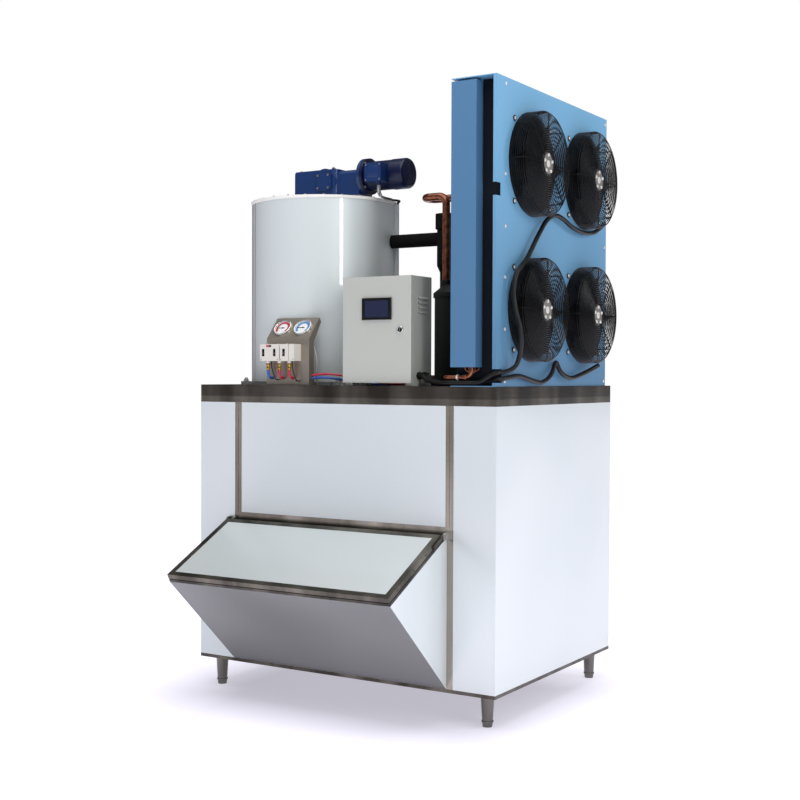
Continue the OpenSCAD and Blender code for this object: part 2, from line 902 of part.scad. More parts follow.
module blade_arms() {
    wiper_r = cylinder_in - wiper_gap;
    color([0.55, 0.55, 0.56]) place() at_drum() difference() {
        union() {
            for (z = [arm_low_z, arm_high_z]) translate([0, 0, z]) {
                cylinder(h = arm_h, r = hub_r);
                translate([-wiper_r + wiper_t, -arm_w / 2, 0])
                    cube([wiper_r - wiper_t + roller_x, arm_w, arm_h]);
                translate([roller_x, 0, 0]) cylinder(h = arm_h, d = arm_w);
            }
            translate([-wiper_r + 2, -wiper_t / 2, arm_low_z])
                cube([arm_w, wiper_t, arm_high_z + arm_h - arm_low_z]);
        }
        translate([0, 0, arm_low_z - cut]) cylinder(h = drum_h, r = shaft_r + run_clear);
        for (z = [arm_low_z, arm_high_z])
            translate([roller_x, 0, z - cut]) cylinder(h = arm_h + 2 * cut, r = journal_r + run_clear);
    }
}

module ice_blade() {
    low = arm_low_z + arm_h + seat;
    high = arm_high_z - seat;
    step = (high - low) / roller_ridges;
    teeth = [
        for (i = [0 : roller_ridges - 1], k = [0, 0.5])
            [roller_r - (k == 0 ? roller_groove : 0), low + (i + k) * step]
    ];
    color([0.75, 0.75, 0.76]) place() at_drum() translate([roller_x, 0, 0]) rotate_extrude() polygon(concat(
        [[0, arm_low_z], [journal_r, arm_low_z], [journal_r, low]],
        teeth,
        [[roller_r - roller_groove, high], [journal_r, high],
         [journal_r, arm_high_z + arm_h], [0, arm_high_z + arm_h]]
    ));
}

module at_gear() {
    translate([drum_x, drum_y, z_drum]) children();
}

module shouldered(size) {
    square([size[0], size[1] - gear_shoulder]);
    translate([gear_shoulder, 0]) square([size[0] - gear_shoulder, size[1]]);
    translate([gear_shoulder, size[1] - gear_shoulder]) circle(gear_shoulder);
}

module gear_housing() {
    color([0.09, 0.15, 0.38]) place() at_gear() difference() {
        union() {
            intersection() {
                translate([(gear_right - gear_left) / 2, 0, 0]) linear_extrude(gear_h)
                    round_square([gear_l, gear_w], gear_corner);
                translate([-gear_left - cut, gear_w / 2 + cut, -cut]) rotate([90, 0, 0])
                    linear_extrude(gear_w + 2 * cut) shouldered([gear_l + 2 * cut, gear_h + 2 * cut]);
            }
            translate([dome_x, gear_w / 2, dome_z]) rotate([90, 0, 0]) cylinder(h = gear_w, r = dome_r);
            translate([gear_right - gear_corner, 0, 0]) along_x(input_l + gear_corner) polygon([
                [-input_w / 2, input_low], [input_w / 2, input_low],
                [input_w / 2, input_low + input_h - input_chamfer],
                [input_w / 2 - input_chamfer, input_low + input_h],
                [input_chamfer - input_w / 2, input_low + input_h],
                [-input_w / 2, input_low + input_h - input_chamfer]
            ]);
            translate([flange_x, 0, motor_axis_h]) rotate([0, 90, 0]) cylinder(h = flange_t, d = flange_d);
            translate([dome_x, 0, dome_z + dome_r - cut]) cylinder(h = breather_h + cut, d = breather_d);
        }
        translate([0, 0, -cut]) cylinder(h = shaft_in_gear + cut + seat, r = shaft_r + run_clear);
    }
}

module gear_cover() {
    color([0.11, 0.18, 0.42]) place() at_gear()
    translate([dome_x, -gear_w / 2, dome_z]) rotate([90, 0, 0]) {
        linear_extrude(cap_t) round_square([cap_w, cap_w], cap_corner);
        for (x = [-cap_bolt, cap_bolt], y = [-cap_bolt, cap_bolt])
            translate([x, y, cap_t]) cylinder(h = cap_bolt_h, d = cap_bolt_d);
    }
}

module motor_body() {
    color([0.08, 0.13, 0.32]) place() at_gear()
    translate([flange_x + flange_t, 0, motor_axis_h]) rotate([0, 90, 0]) {
        cylinder(h = flange_t, d = flange_d);
        translate([0, 0, flange_t]) cylinder(h = motor_l, d = motor_d);
    }
}

module motor_cowl() {
    r = motor_d / 2 + cowl_lip;
    color([0.07, 0.11, 0.28]) place() at_gear()
    translate([cowl_x, 0, motor_axis_h]) rotate([0, 90, 0]) difference() {
        rotate_extrude() polygon([
            [0, 0], [r, 0], [r, cowl_l - cowl_edge], [r - cowl_edge / 3, cowl_l - cowl_edge / 3],
            [r - cowl_edge, cowl_l], [0, cowl_l]
        ]);
        translate([0, 0, -cut]) cylinder(h = cowl_l - 2 * cowl_wall + cut, r = r - cowl_wall);
        for (i = [1 : cowl_grooves])
            translate([0, 0, cowl_l - cowl_wall]) rotate_extrude()
                translate([i * (r - cowl_edge) / (cowl_grooves + 1), 0])
                    square([cowl_wall, 2 * cowl_wall]);
    }
}

module terminal_box() {
    back = motor_d / 2;
    color([0.1, 0.16, 0.38]) place() at_gear() translate([tbox_x, 0, motor_axis_h]) {
        difference() {
            translate([0, -back - tbox_t, -tbox_h / 2]) cube([tbox_w, tbox_t + back / 2, tbox_h]);
            translate([-cut, 0, 0]) rotate([0, 90, 0]) cylinder(h = tbox_w + 2 * cut, d = motor_d + 2 * seat);
        }
        translate([tbox_w - gland_in, -back - tbox_t / 2, -tbox_h / 2 - gland_l])
            cylinder(h = gland_l + cut, d = gland_d);
    }
}

module box_body() {
    depth = box_back - box_front;
    color([0.74, 0.76, 0.75]) place() translate([box_x, box_front, z_box]) {
        difference() {
            cube([box_w, depth, box_h]);
            translate([box_sheet, -cut, box_sheet])
                cube([box_w - 2 * box_sheet, depth - box_sheet + cut, box_h - 2 * box_sheet]);
            for (i = [0 : louvre_n - 1])
                translate([box_w - 2 * box_sheet, louvre_in, louvre_z + i * louvre_pitch])
                    cube([3 * box_sheet, louvre_l, louvre_h]);
        }
        translate([box_w - box_sheet - keeper_w, 0, lock_z - z_box - 2 * cam_l])
            cube([keeper_w + box_sheet / 2, box_sheet, 4 * cam_l]);
        for (x = [0, box_w - box_foot_w], y = [0, depth - box_foot_w])
            translate([x, y, -box_feet]) cube([box_foot_w, box_foot_w, box_feet]);
        for (h = hinge_heights) {
            translate([-box_sheet, seat, h]) cube([box_sheet, leaf_l, knuckle_l]);
            translate([-knuckle_off, 0, h]) cylinder(h = knuckle_l, r = knuckle_r - seat);
            translate([-knuckle_off, 0, h]) cylinder(h = 2 * knuckle_l, r = knuckle_pin_r);
            translate([-knuckle_off, seat, h]) cube([knuckle_off, box_sheet, knuckle_l]);
        }
    }
}

module switchgear() {
    plate_y = box_d - door_t - box_sheet - plate_gap - plate_t;
    color([0.25, 0.25, 0.27]) place() translate([box_x, box_front, z_box]) {
        translate([plate_in, plate_y, plate_in])
            cube([box_w - 2 * plate_in, plate_t, box_h - 2 * plate_in]);
        for (x = [2 * plate_in, box_w - 2 * plate_in], z = [2 * plate_in, box_h - 2 * plate_in])
            translate([x, plate_y, z]) rotate([-90, 0, 0]) cylinder(h = plate_t + plate_gap, r = plate_gap);
        for (i = [0 : contactor_n - 1], row = [0, 1])
            translate([plate_in + (i + 0.5) * (box_w - 2 * plate_in) / contactor_n - contactor_w / 2,
                       plate_y - contactor_t,
                       2 * plate_in + row * (contactor_h + 3 * plate_in)])
                cube([contactor_w, contactor_t, contactor_h]);
    }
}

module box_door() {
    color([0.75, 0.77, 0.76]) place() translate([box_x, box_y, z_box]) {
        difference() {
            cube([box_w, door_t - door_gap, box_h]);
            translate([box_sheet, box_sheet, box_sheet])
                cube([box_w - 2 * box_sheet, door_t, box_h - 2 * box_sheet]);
            translate([screen_x - box_x + screen_lip, -cut, screen_z - z_box + screen_lip])
                cube([screen_w - 2 * screen_lip, box_sheet + 2 * cut, screen_h - 2 * screen_lip]);
            translate([box_w - lock_in, -cut, lock_z - z_box]) rotate([-90, 0, 0])
                cylinder(h = box_sheet + 2 * cut, r = barrel_r + run_clear);
        }
        for (h = hinge_heights) difference() {
            union() {
                translate([-knuckle_off, door_t, h + knuckle_l + seat])
                    cylinder(h = knuckle_l - seat, r = knuckle_r - seat);
                translate([-knuckle_off, door_t - knuckle_r, h + knuckle_l + seat])
                    cube([knuckle_off + box_sheet / 2, knuckle_r - door_gap, knuckle_l - seat]);
            }
            translate([-knuckle_off, door_t, h]) cylinder(h = 3 * knuckle_l, r = knuckle_pin_r + run_clear);
        }
    }
}

module touch_panel() {
    color([0.05, 0.06, 0.09]) place() {
        translate([screen_x, box_y - screen_t, screen_z]) cube([screen_w, screen_t, screen_h]);
        translate([screen_x + screen_lip, box_y - cut, screen_z + screen_lip])
            cube([screen_w - 2 * screen_lip, screen_back + cut, screen_h - 2 * screen_lip]);
    }
}

module door_lock() {
    reach = door_t + box_sheet + cam_gap + cam_t;
    color([0.6, 0.6, 0.6]) place() translate([box_x + box_w - lock_in, box_y, lock_z]) rotate([-90, 0, 0]) {
        translate([0, 0, -lock_proud]) cylinder(h = lock_proud, r = lock_r);
        cylinder(h = reach, r = barrel_r);
        translate([-cam_w / 2, -cam_l, reach - cam_t]) cube([cam_w, cam_l, cam_t]);
    }
}

module on_slant() {
    translate([panel_x, panel_y, z_deck + panel_h]) rotate([slant_a, 0, 0]) children();
}

module at_gauges() {
    on_slant() for (s = [-1, 1])
        translate([panel_w / 2 + s * gauge_pitch / 2, slant_l / 2, 0]) children();
}

module gauge_bracket() {
    outer = [
        [panel_y, z_deck], [panel_y, z_deck + panel_h], [slant_y, slant_z],
        [slant_y + bracket_t, slant_z - bracket_t],
        [panel_y + bracket_t, z_deck + panel_h - bracket_t / 2], [panel_y + bracket_t, z_deck]
    ];
    flange = [
        [panel_y, z_deck], [panel_y, z_deck + panel_h], [slant_y, slant_z],
        [slant_y + bracket_side / 3, slant_z - bracket_side / 2],
        [panel_y + bracket_side, z_deck + panel_h - bracket_side / 3], [panel_y + bracket_side, z_deck]
    ];
    color([0.55, 0.52, 0.48]) place() difference() {
        union() {
            translate([panel_x, 0, 0]) along_x(panel_w) polygon(outer);
            for (x = [panel_x, panel_x + panel_w - bracket_t])
                translate([x, 0, 0]) along_x(bracket_t) polygon(flange);
            translate([panel_x, panel_y, z_deck]) cube([panel_w, bracket_side, bracket_t]);
        }
        at_gauges() translate([0, 0, -gauge_body_t])
            cylinder(h = 2 * gauge_body_t, d = gauge_body_d + 2 * seat);
    }
}

module gauges() {
    color([0.8, 0.8, 0.8]) place() at_gauges() {
        difference() {
            union() {
                translate([0, 0, -gauge_body_t]) cylinder(h = gauge_body_t + cut, d = gauge_body_d);
                cylinder(h = bezel_t, d = gauge_d);
            }
            translate([0, 0, bezel_t - dial_depth]) cylinder(h = dial_depth + cut, d = dial_d);
        }
        translate([0, 0, bezel_t - dial_depth - cut]) cylinder(h = cut + 2, r = needle_pin_r);
    }
}

// A pointer on its pin, lying level to the left
module needle() {
    difference() {
        union() {
            translate([-needle_l, -needle_w / 2, 0]) cube([needle_l + needle_tail, needle_w, needle_t]);
            cylinder(h = needle_t, r = 2 * needle_pin_r);
        }
        translate([0, 0, -cut]) cylinder(h = needle_t + 2 * cut, r = needle_pin_r + run_clear);
    }
}

module place_needle(side) {
    place() on_slant()
        translate([panel_w / 2 + side * gauge_pitch / 2, slant_l / 2, bezel_t - dial_depth + seat])
            needle();
}

module high_needle() {
    color([0.1, 0.1, 0.1]) place_needle(-1);
}

module low_needle() {
    color([0.1, 0.1, 0.1]) place_needle(1);
}

// One pressure switch with its dial windows and the threaded stub below
module pressure_switch(width, windows, stub_x) {
    difference() {
        cube([width, switch_t, switch_h]);
        for (x = windows)
            translate([x, -cut, (switch_h - window_h) / 2]) cube([window_w, window_d + cut, window_h]);
    }
    for (x = stub_x) translate([x, switch_t / 2, -stub_h]) cylinder(h = stub_h + cut, d = stub_d);
}

module pressure_switches() {
    color([0.88, 0.87, 0.85]) place() translate([panel_x, panel_y - switch_t, switch_z]) {
        pressure_switch(switch_1_w, windows_1, stubs_1);
        translate([switch_2_x, 0, 0]) pressure_switch(switch_2_w, windows_2, stubs_2);
    }
}

// Brass ends under the switches with the short hoses that go back through the panel
module hoses() {
    y = panel_y - switch_t / 2;
    low = switch_z - stub_h;
    starts = concat(stubs_1, [for (x = stubs_2) switch_2_x + x]);
    end = low - fitting_h;
    color([0.75, 0.2, 0.25]) place() translate([panel_x, 0, 0]) {
        for (x = starts) translate([x, y, low - fitting_h]) cylinder(h = fitting_h, d = fitting_d, $fn = 6);
        for (x = starts) lead([
            [x, y, end], [x, y, end - hose_drop / 3], [x, y + hose_d / 4, end - 2 * hose_drop / 3],
            [x, y + hose_d, end - hose_drop], [x, panel_y - seat, end - hose_drop]
        ], hose_d, 8);
    }
}

module compressor() {
    body = comp_h - comp_plate_t;
    color([0.13, 0.14, 0.13]) place() translate([comp_x, comp_y, z_deck]) {
        linear_extrude(comp_plate_t) round_square([comp_plate_w, comp_plate_w], comp_plate_w / 6);
        translate([0, 0, comp_plate_t]) rotate_extrude($fn = 96) polygon([
            [0, 0], [comp_r - comp_bead, 0], [comp_r - comp_bead, body - comp_dome - 4 * comp_bead],
            [comp_r, body - comp_dome - 4 * comp_bead], [comp_r, body - comp_dome - comp_bead],
            [comp_r - comp_bead, body - comp_dome], [0.72 * comp_r, body - comp_dome / 4],
            [0.4 * comp_r, body], [0, body]
        ]);
        translate([riser_x - comp_x, riser_y - comp_y, comp_h - 2 * comp_dome])
            cylinder(h = stub_top - comp_h + 2 * comp_dome, d = suction_d);
        translate([lift_x - comp_x, lift_y - comp_y, comp_h - 2 * comp_dome])
            cylinder(h = stub_top - comp_h + 2 * comp_dome, d = discharge_d + 2 * stub_wall);
    }
}

module suction_line() {
    color([0.08, 0.08, 0.08]) place() difference() {
        union() {
            bar([drum_x, riser_y, z_suction], [riser_x, riser_y, z_suction], suction_d);
            translate([riser_x, riser_y, z_deck]) {
                translate([0, 0, stub_top]) cylinder(h = riser_low - stub_top + cut, d = suction_d);
                translate([0, 0, riser_low - riser_taper])
                    cylinder(h = riser_taper, d1 = suction_d, d2 = riser_d);
                translate([0, 0, riser_low]) cylinder(h = riser_top - riser_low, d = riser_d);
                translate([0, 0, riser_top - riser_collar_h + cut])
                    cylinder(h = riser_collar_h, d = riser_collar_d);
            }
        }
        at_drum() cylinder(h = 3 * z_deck, r = drum_r + seat, $fn = 96);
    }
}

module discharge_line() {
    z = z_deck + lift_top;
    color([0.72, 0.42, 0.3]) place() pipe([
        [lift_x, lift_y, z_deck + stub_top], [lift_x, lift_y, z], [loop_x, lift_y, z],
        [loop_x, lift_y + loop_w, z], [coil_x0, lift_y + loop_w, z]
    ], pipe_bend, discharge_d);
}

module liquid_line() {
    z = z_deck + liquid_h;
    header_x = cond_x0 + header_w - header_end;
    color([0.72, 0.42, 0.3]) place() difference() {
        union() {
            pipe([
                [header_x, liquid_y, z_deck + header_low], [header_x, liquid_y, z],
                [liquid_x, liquid_y, z], [liquid_x, liquid_back, z], [drum_x, liquid_back, z]
            ], liquid_bend, liquid_d);
            translate([drier_x, liquid_back, z]) rotate([0, 90, 0]) cylinder(h = drier_l, d = drier_d);
        }
        at_drum() cylinder(h = 3 * z_deck, r = drum_r + seat, $fn = 96);
    }
}

module condenser_casing() {
    inner_x = cond_x1 - cond_sheet;
    color([0.4, 0.6, 0.75]) place() translate([cond_x0, 0, 0]) {
        width = inner_x - cond_x0;
        difference() {
            union() {
                for (z = [z_deck, z_cond - cond_sheet])
                    translate([0, 0, z]) cube([width, cond_d, cond_sheet]);
                for (y = [header_d, cond_d - cond_sheet])
                    translate([0, y, z_deck]) cube([width, cond_sheet, cond_h]);
            }
            for (i = [0 : header_stub_n - 1], x = [header_end, header_w - header_end])
                translate([x, header_d - cut, stub_level(i)]) rotate([-90, 0, 0])
                    cylinder(h = cond_sheet + 2 * cut, d = header_stub_d + 2);
        }
    }
}

// Heights of the stubs between the headers and the coil
function stub_level(i) =
    z_deck + header_low + stub_in
    + i * (cond_h - header_low - header_top - 2 * stub_in) / (header_stub_n - 1);

function fan_centre(i) = [
    cond_x1,
    fan_y + (i % 2 == 0 ? -0.5 : 0.5) * fan_pitch_y,
    fan_z + (i < 2 ? 0.5 : -0.5) * fan_pitch_z
];

// A fan's own frame: Z out of the panel, at the panel's face
module at_fan(i) {
    translate(fan_centre(i)) rotate([0, 90, 0]) children();
}

module fan_panel() {
    face_x = cond_x1 - cond_sheet;
    color([0.48, 0.7, 0.85]) place() difference() {
        union() {
            translate([face_x, 0, z_deck]) cube([cond_sheet, cond_d, cond_h]);
            translate([cond_x1 - panel_lip, 0, z_deck + cond_sheet])
                cube([panel_lip, cond_sheet, cond_h - 2 * cond_sheet]);
            for (i = [0 : 3]) at_fan(i) translate([0, 0, -bell_l])
                cylinder(h = bell_l, r = fan_hole_r + bell_t, $fn = 96);
        }
        for (i = [0 : 3]) at_fan(i) translate([0, 0, -2 * bell_l])
            cylinder(h = 3 * bell_l, r = fan_hole_r, $fn = 96);
        translate([cond_x1 - 2 * panel_lip, -cut, z_deck + notch_z])
            cube([3 * panel_lip, notch_y + cut, notch_h]);
        translate([cond_x1 - 2 * panel_lip, -cut, z_deck + cable_notch_z])
            cube([3 * panel_lip, header_d + cut, cable_notch_h]);
    }
}

module coil() {
    low = z_deck + cond_sheet;
    color([0.6, 0.6, 0.6]) place() {
        translate([coil_x0, header_d + cond_sheet, low])
            cube([coil_t, cond_d - header_d - 2 * cond_sheet, cond_h - 2 * cond_sheet]);
        for (x = [header_end, header_w - header_end]) {
            translate([cond_x0 + x, liquid_y, z_deck + header_low + header_sheet + seat])
                cylinder(h = header_room - 2 * header_sheet - 2 * seat, d = header_pipe_d);
            for (i = [0 : header_stub_n - 1])
                translate([cond_x0 + x, liquid_y, stub_level(i)]) rotate([-90, 0, 0])
                    cylinder(h = header_d + cond_sheet - liquid_y + cut, d = header_stub_d);
        }
    }
}

module header_cover() {
    height = cond_h - header_low - header_top;
    color([0.31, 0.48, 0.62]) place() translate([cond_x0, 0, z_deck + header_low]) difference() {
        cube([header_w, header_d, height]);
        translate([header_sheet, header_sheet, header_sheet])
            cube([header_w - 2 * header_sheet, header_d, height - 2 * header_sheet]);
    }
}

module fan_guard() {
    front = guard_d - guard_wire;
    outer = guard_r - guard_wire;
    hub_ring = stator_r - guard_wire;
    difference() {
        union() {
            rotate_extrude($fn = 96) {
                for (i = [0 : guard_rings - 1])
                    translate([hub_ring + (i + 1) * guard_ring_step, front]) square(guard_wire);
                for (i = [0 : guard_side_rings])
                    translate([outer, i * (front - guard_wire) / guard_side_rings]) square(guard_wire);
                translate([hub_ring - guard_wire, front]) square([3 * guard_wire, guard_wire]);
            }
            for (i = [0 : guard_spokes - 1]) rotate((i + 0.5) * 360 / guard_spokes) {
                translate([hub_ring, -guard_wire / 2, front])
                    cube([outer + guard_wire - hub_ring, guard_wire, guard_wire]);
                translate([outer, -guard_wire / 2, 0]) cube([guard_wire, guard_wire, guard_d]);
            }
            for (a = [45 : 90 : 315]) rotate(a) {
                translate([outer, -guard_foot_w / 2, 0])
                    cube([guard_foot_r - outer, guard_foot_w, guard_wire]);
                translate([guard_foot_r, 0, 0]) cylinder(h = guard_wire, d = guard_foot_w);
            }
        }
        for (a = [45 : 90 : 315]) rotate(a)
            translate([guard_foot_r, 0, -cut]) cylinder(h = guard_wire + 2 * cut, d = guard_foot_hole);
    }
}

module fan_guards() {
    color([0.06, 0.06, 0.06]) place() for (i = [0 : 3]) at_fan(i) fan_guard();
}

module fan_motors() {
    plate = guard_d - guard_wire - stator_t;
    color([0.74, 0.72, 0.7]) place() for (i = [0 : 3]) at_fan(i) {
        translate([0, 0, plate]) cylinder(h = stator_t, r = stator_r);
        cylinder(h = plate + cut, r = spindle_r);
    }
}

// One cambered blade, cut from a thin cylinder wall whose axis runs outwards
module fan_blade() {
    intersection() {
        difference() {
            translate([0, 0, -fan_hole_r]) cylinder(h = 2 * fan_hole_r, r = blade_r);
            translate([0, 0, -2 * fan_hole_r]) cylinder(h = 4 * fan_hole_r, r = can_r - blade_t);
        }
        translate([0, -blade_curve / 2, blade_curve + blade_low - 1]) rotate([0, 90, 0]) difference() {
            cylinder(h = 2 * blade_r, r = blade_curve + blade_t / 2, $fn = 96);
            translate([0, 0, -cut])
                cylinder(h = 2 * blade_r + 2 * cut, r = blade_curve - blade_t / 2, $fn = 96);
        }
        translate([0, -0.55 * blade_chord, -fan_hole_r]) cube([2 * blade_r, blade_chord, 2 * fan_hole_r]);
    }
}

module fan_rotor(i) {
    color([0.07, 0.07, 0.07]) place() at_fan(i) difference() {
        union() {
            translate([0, 0, -can_back]) cylinder(h = can_back + can_front, r = can_r);
            for (k = [0 : fan_blades - 1]) rotate(k * 360 / fan_blades) fan_blade();
        }
        translate([0, 0, -seat]) cylinder(h = 2 * guard_d, r = spindle_r + run_clear);
    }
}

module fan_rotor_1() {
    fan_rotor(0);
}

module fan_rotor_2() {
    fan_rotor(1);
}

module fan_rotor_3() {
    fan_rotor(2);
}

module fan_rotor_4() {
    fan_rotor(3);
}

// A fan's lead from the guard over the deck, ending square to the side of the control box
function fan_lead(run, end) = let (
    corner = [box_x + box_w, box_y, z_deck],
    last = end[len(end) - 1]
) concat(
    [for (p = run) p + [cond_x1, 0, z_deck]],
    [for (p = end) corner + [p[0] * (cond_x0 - corner.x), p[1], p[2]]],
    [corner + [seat, last[1], last[2]]]
);

module fan_conduits() {
    color([0.05, 0.05, 0.05]) place() {
        lead(fan_lead(upper_run, upper_end), lead_d);
        lead(fan_lead(lower_run, lower_end), lead_d);
    }
}

module motor_cable() {
    color([0.05, 0.05, 0.05]) place() at_gear() lead(concat(motor_run, [
        for (p = motor_drop) [(drum_r + p[0]) * cos(duct_a), (drum_r + p[0]) * sin(duct_a), p[1]]
    ]), motor_lead_d, 8);
}

module water_tank() {
    color([0.7, 0.71, 0.72]) place() translate([tank_x, tank_y, z_deck]) {
        difference() {
            cube([tank_w, tank_d, tank_h]);
            translate([tank_sheet, tank_sheet, tank_sheet])
                cube([tank_w - 2 * tank_sheet, tank_d - 2 * tank_sheet, tank_h - 2 * tank_sheet]);
            translate([0.8 * tank_w, tank_d / 2, tank_h / 2]) cylinder(h = tank_h, d = tank_vent_d);
        }
        translate([-inlet_l, tank_d / 2, tank_h - 2 * inlet_l]) rotate([0, 90, 0])
            cylinder(h = inlet_l, r = inlet_r);
    }
}

module water_pipe() {
    x = drum_x - tank_w / 4;
    y = tank_y + tank_d / 3;
    color([0.85, 0.86, 0.87]) place() pipe([
        [x, y, z_deck + tank_h], [x, y, z_drum + water_top],
        [x, drum_y + drum_r / 2, z_drum + water_top], [x, drum_y + drum_r / 2, z_drum]
    ], water_bend, water_d);
}

legs();
leveling_feet();
base_frame();
bin_floor();
left_wall();
right_wall();
back_wall();
front_panel();
front_trim();
top_rail();
deck();
hopper();
hopper_rim();
lid_ears();
lid_panel();
lid_frame();
lid_gasket();
drum_base_ring();
drum_jacket();
freezing_cylinder();
drum_cover();
bearing_bridge();
main_shaft();
water_pan();
blade_arms();
ice_blade();
gear_housing();
gear_cover();
motor_body();
motor_cowl();
terminal_box();
box_body();
switchgear();
box_door();
touch_panel();
door_lock();
gauge_bracket();
gauges();
high_needle();
low_needle();
pressure_switches();
hoses();
compressor();
suction_line();
discharge_line();
liquid_line();
condenser_casing();
fan_panel();
coil();
header_cover();
fan_guards();
fan_motors();
fan_rotor_1();
fan_rotor_2();
fan_rotor_3();
fan_rotor_4();
fan_conduits();
motor_cable();
water_tank();
water_pipe();
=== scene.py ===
"""Looks of the flake ice machine: studio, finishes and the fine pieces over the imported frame."""

import logging
import math
from collections.abc import Iterable, Sequence
from dataclasses import dataclass, field
from enum import Enum
from itertools import product

import bmesh
import bpy
from mathutils import Matrix, Vector


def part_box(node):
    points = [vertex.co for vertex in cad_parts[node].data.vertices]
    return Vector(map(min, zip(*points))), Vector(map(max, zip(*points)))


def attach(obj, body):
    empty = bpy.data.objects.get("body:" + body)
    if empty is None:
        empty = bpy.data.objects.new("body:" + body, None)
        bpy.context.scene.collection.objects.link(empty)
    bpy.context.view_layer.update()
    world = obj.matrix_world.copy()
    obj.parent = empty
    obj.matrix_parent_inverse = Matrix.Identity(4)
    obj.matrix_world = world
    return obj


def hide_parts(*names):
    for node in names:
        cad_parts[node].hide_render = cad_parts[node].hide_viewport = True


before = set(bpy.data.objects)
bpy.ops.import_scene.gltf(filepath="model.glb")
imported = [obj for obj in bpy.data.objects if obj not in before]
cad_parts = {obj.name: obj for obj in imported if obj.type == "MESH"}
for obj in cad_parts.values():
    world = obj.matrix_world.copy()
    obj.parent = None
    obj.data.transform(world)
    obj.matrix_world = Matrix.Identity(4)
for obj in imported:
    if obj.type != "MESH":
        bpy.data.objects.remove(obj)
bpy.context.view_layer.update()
BIN_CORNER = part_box("deck")[0]
LOG = logging.getLogger("ice_machine")
MM = 0.001
BASE = "machine"
SHARP_EDGE = 38.0  # degrees between faces that are shaded apart
SHARP_TURN = 0.6  # radians between faces whose edge gets rounded

# Sizes of the surface patterns in millimetres, along X, Y and Z. Brush marks, powder grit and
# casting grain are finer on the real machine and are drawn coarse enough to show.
BRUSH_MARK_MM = (111.0, 111.0, 1.11)
SHEET_CLOUD_MM = (625.0, 625.0, 625.0)
# Size of the painted reflection streaks on the polished steel
REFLECTION_STREAK_MM = (143.0, 143.0, 833.0)
SHEET_WAVE_MM = (200.0, 200.0, 16.7)
POWDER_GRIT_MM = (1.43, 1.43, 1.43)
CAST_GRAIN_MM = (2.38, 2.38, 2.38)
HEAT_PATCH_MM = (16.7, 16.7, 16.7)
FIN_PITCH_MM = 2.5

# Blender's wave texture has 20 radians to a unit at a scale of 1
WAVE_RADIANS = 20.0


def at(x: float, y: float, z: float) -> Vector:
    """A point of the frame, from millimetres off the bin's front left corner and the floor.

    Args:
        x: distance right of the bin's left side.
        y: distance behind the bin's front.
        z: height over the floor.

    Returns:
        The point in metres.
    """
    return Vector((BIN_CORNER.x + x * MM, BIN_CORNER.y + y * MM, z * MM))


def rays(count: int, start: float) -> list[Vector]:
    """Unit vectors square to X, evenly spread round it.

    Args:
        count: how many.
        start: angle of the first one from +Y towards +Z, in degrees.

    Returns:
        The vectors in order.
    """
    turns = [math.radians(start + 360 * k / count) for k in range(count)]
    return [Vector((0, math.cos(a), math.sin(a))) for a in turns]


def linear(code: str) -> tuple[float, float, float, float]:
    """Turns an sRGB hex colour into a linear one.

    Args:
        code: six hex digits, with or without a leading hash sign.

    Returns:
        Red, green, blue and an alpha of 1.
    """
    code = code.lstrip("#")
    parts = [int(code[i : i + 2], 16) / 255 for i in (0, 2, 4)]
    low = [c / 12.92 if c <= 0.04045 else ((c + 0.055) / 1.055) ** 2.4 for c in parts]
    return (low[0], low[1], low[2], 1.0)


def add_node(
    tree: bpy.types.NodeTree, kind: str, values: dict | None = None, **settings: object
) -> bpy.types.Node:
    """Adds a shader node.

    Args:
        tree: the node tree.
        kind: the node's type name.
        values: socket name or number to a value, or to a socket to link from.
        **settings: attributes of the node.

    Returns:
        The new node.
    """
    node = tree.nodes.new(kind)
    for name, value in settings.items():
        setattr(node, name, value)
    for name, value in (values or {}).items():
        if isinstance(value, bpy.types.NodeSocket):
            tree.links.new(value, node.inputs[name])
        else:
            node.inputs[name].default_value = value
    return node


class Grain(Enum):
    """Surface structure of a finish, and the painted light that some grains tint in."""

    NONE = "none"
    BRUSHED = "brushed"
    PAINTED_REFLECTION_STREAKS = "painted_reflection_streaks"
    POWDER = "powder"
    PAINTED_TOP_LIGHT = "painted_top_light"
    CAST = "cast"
    FINS = "fins"
    CRINKLED = "crinkled"


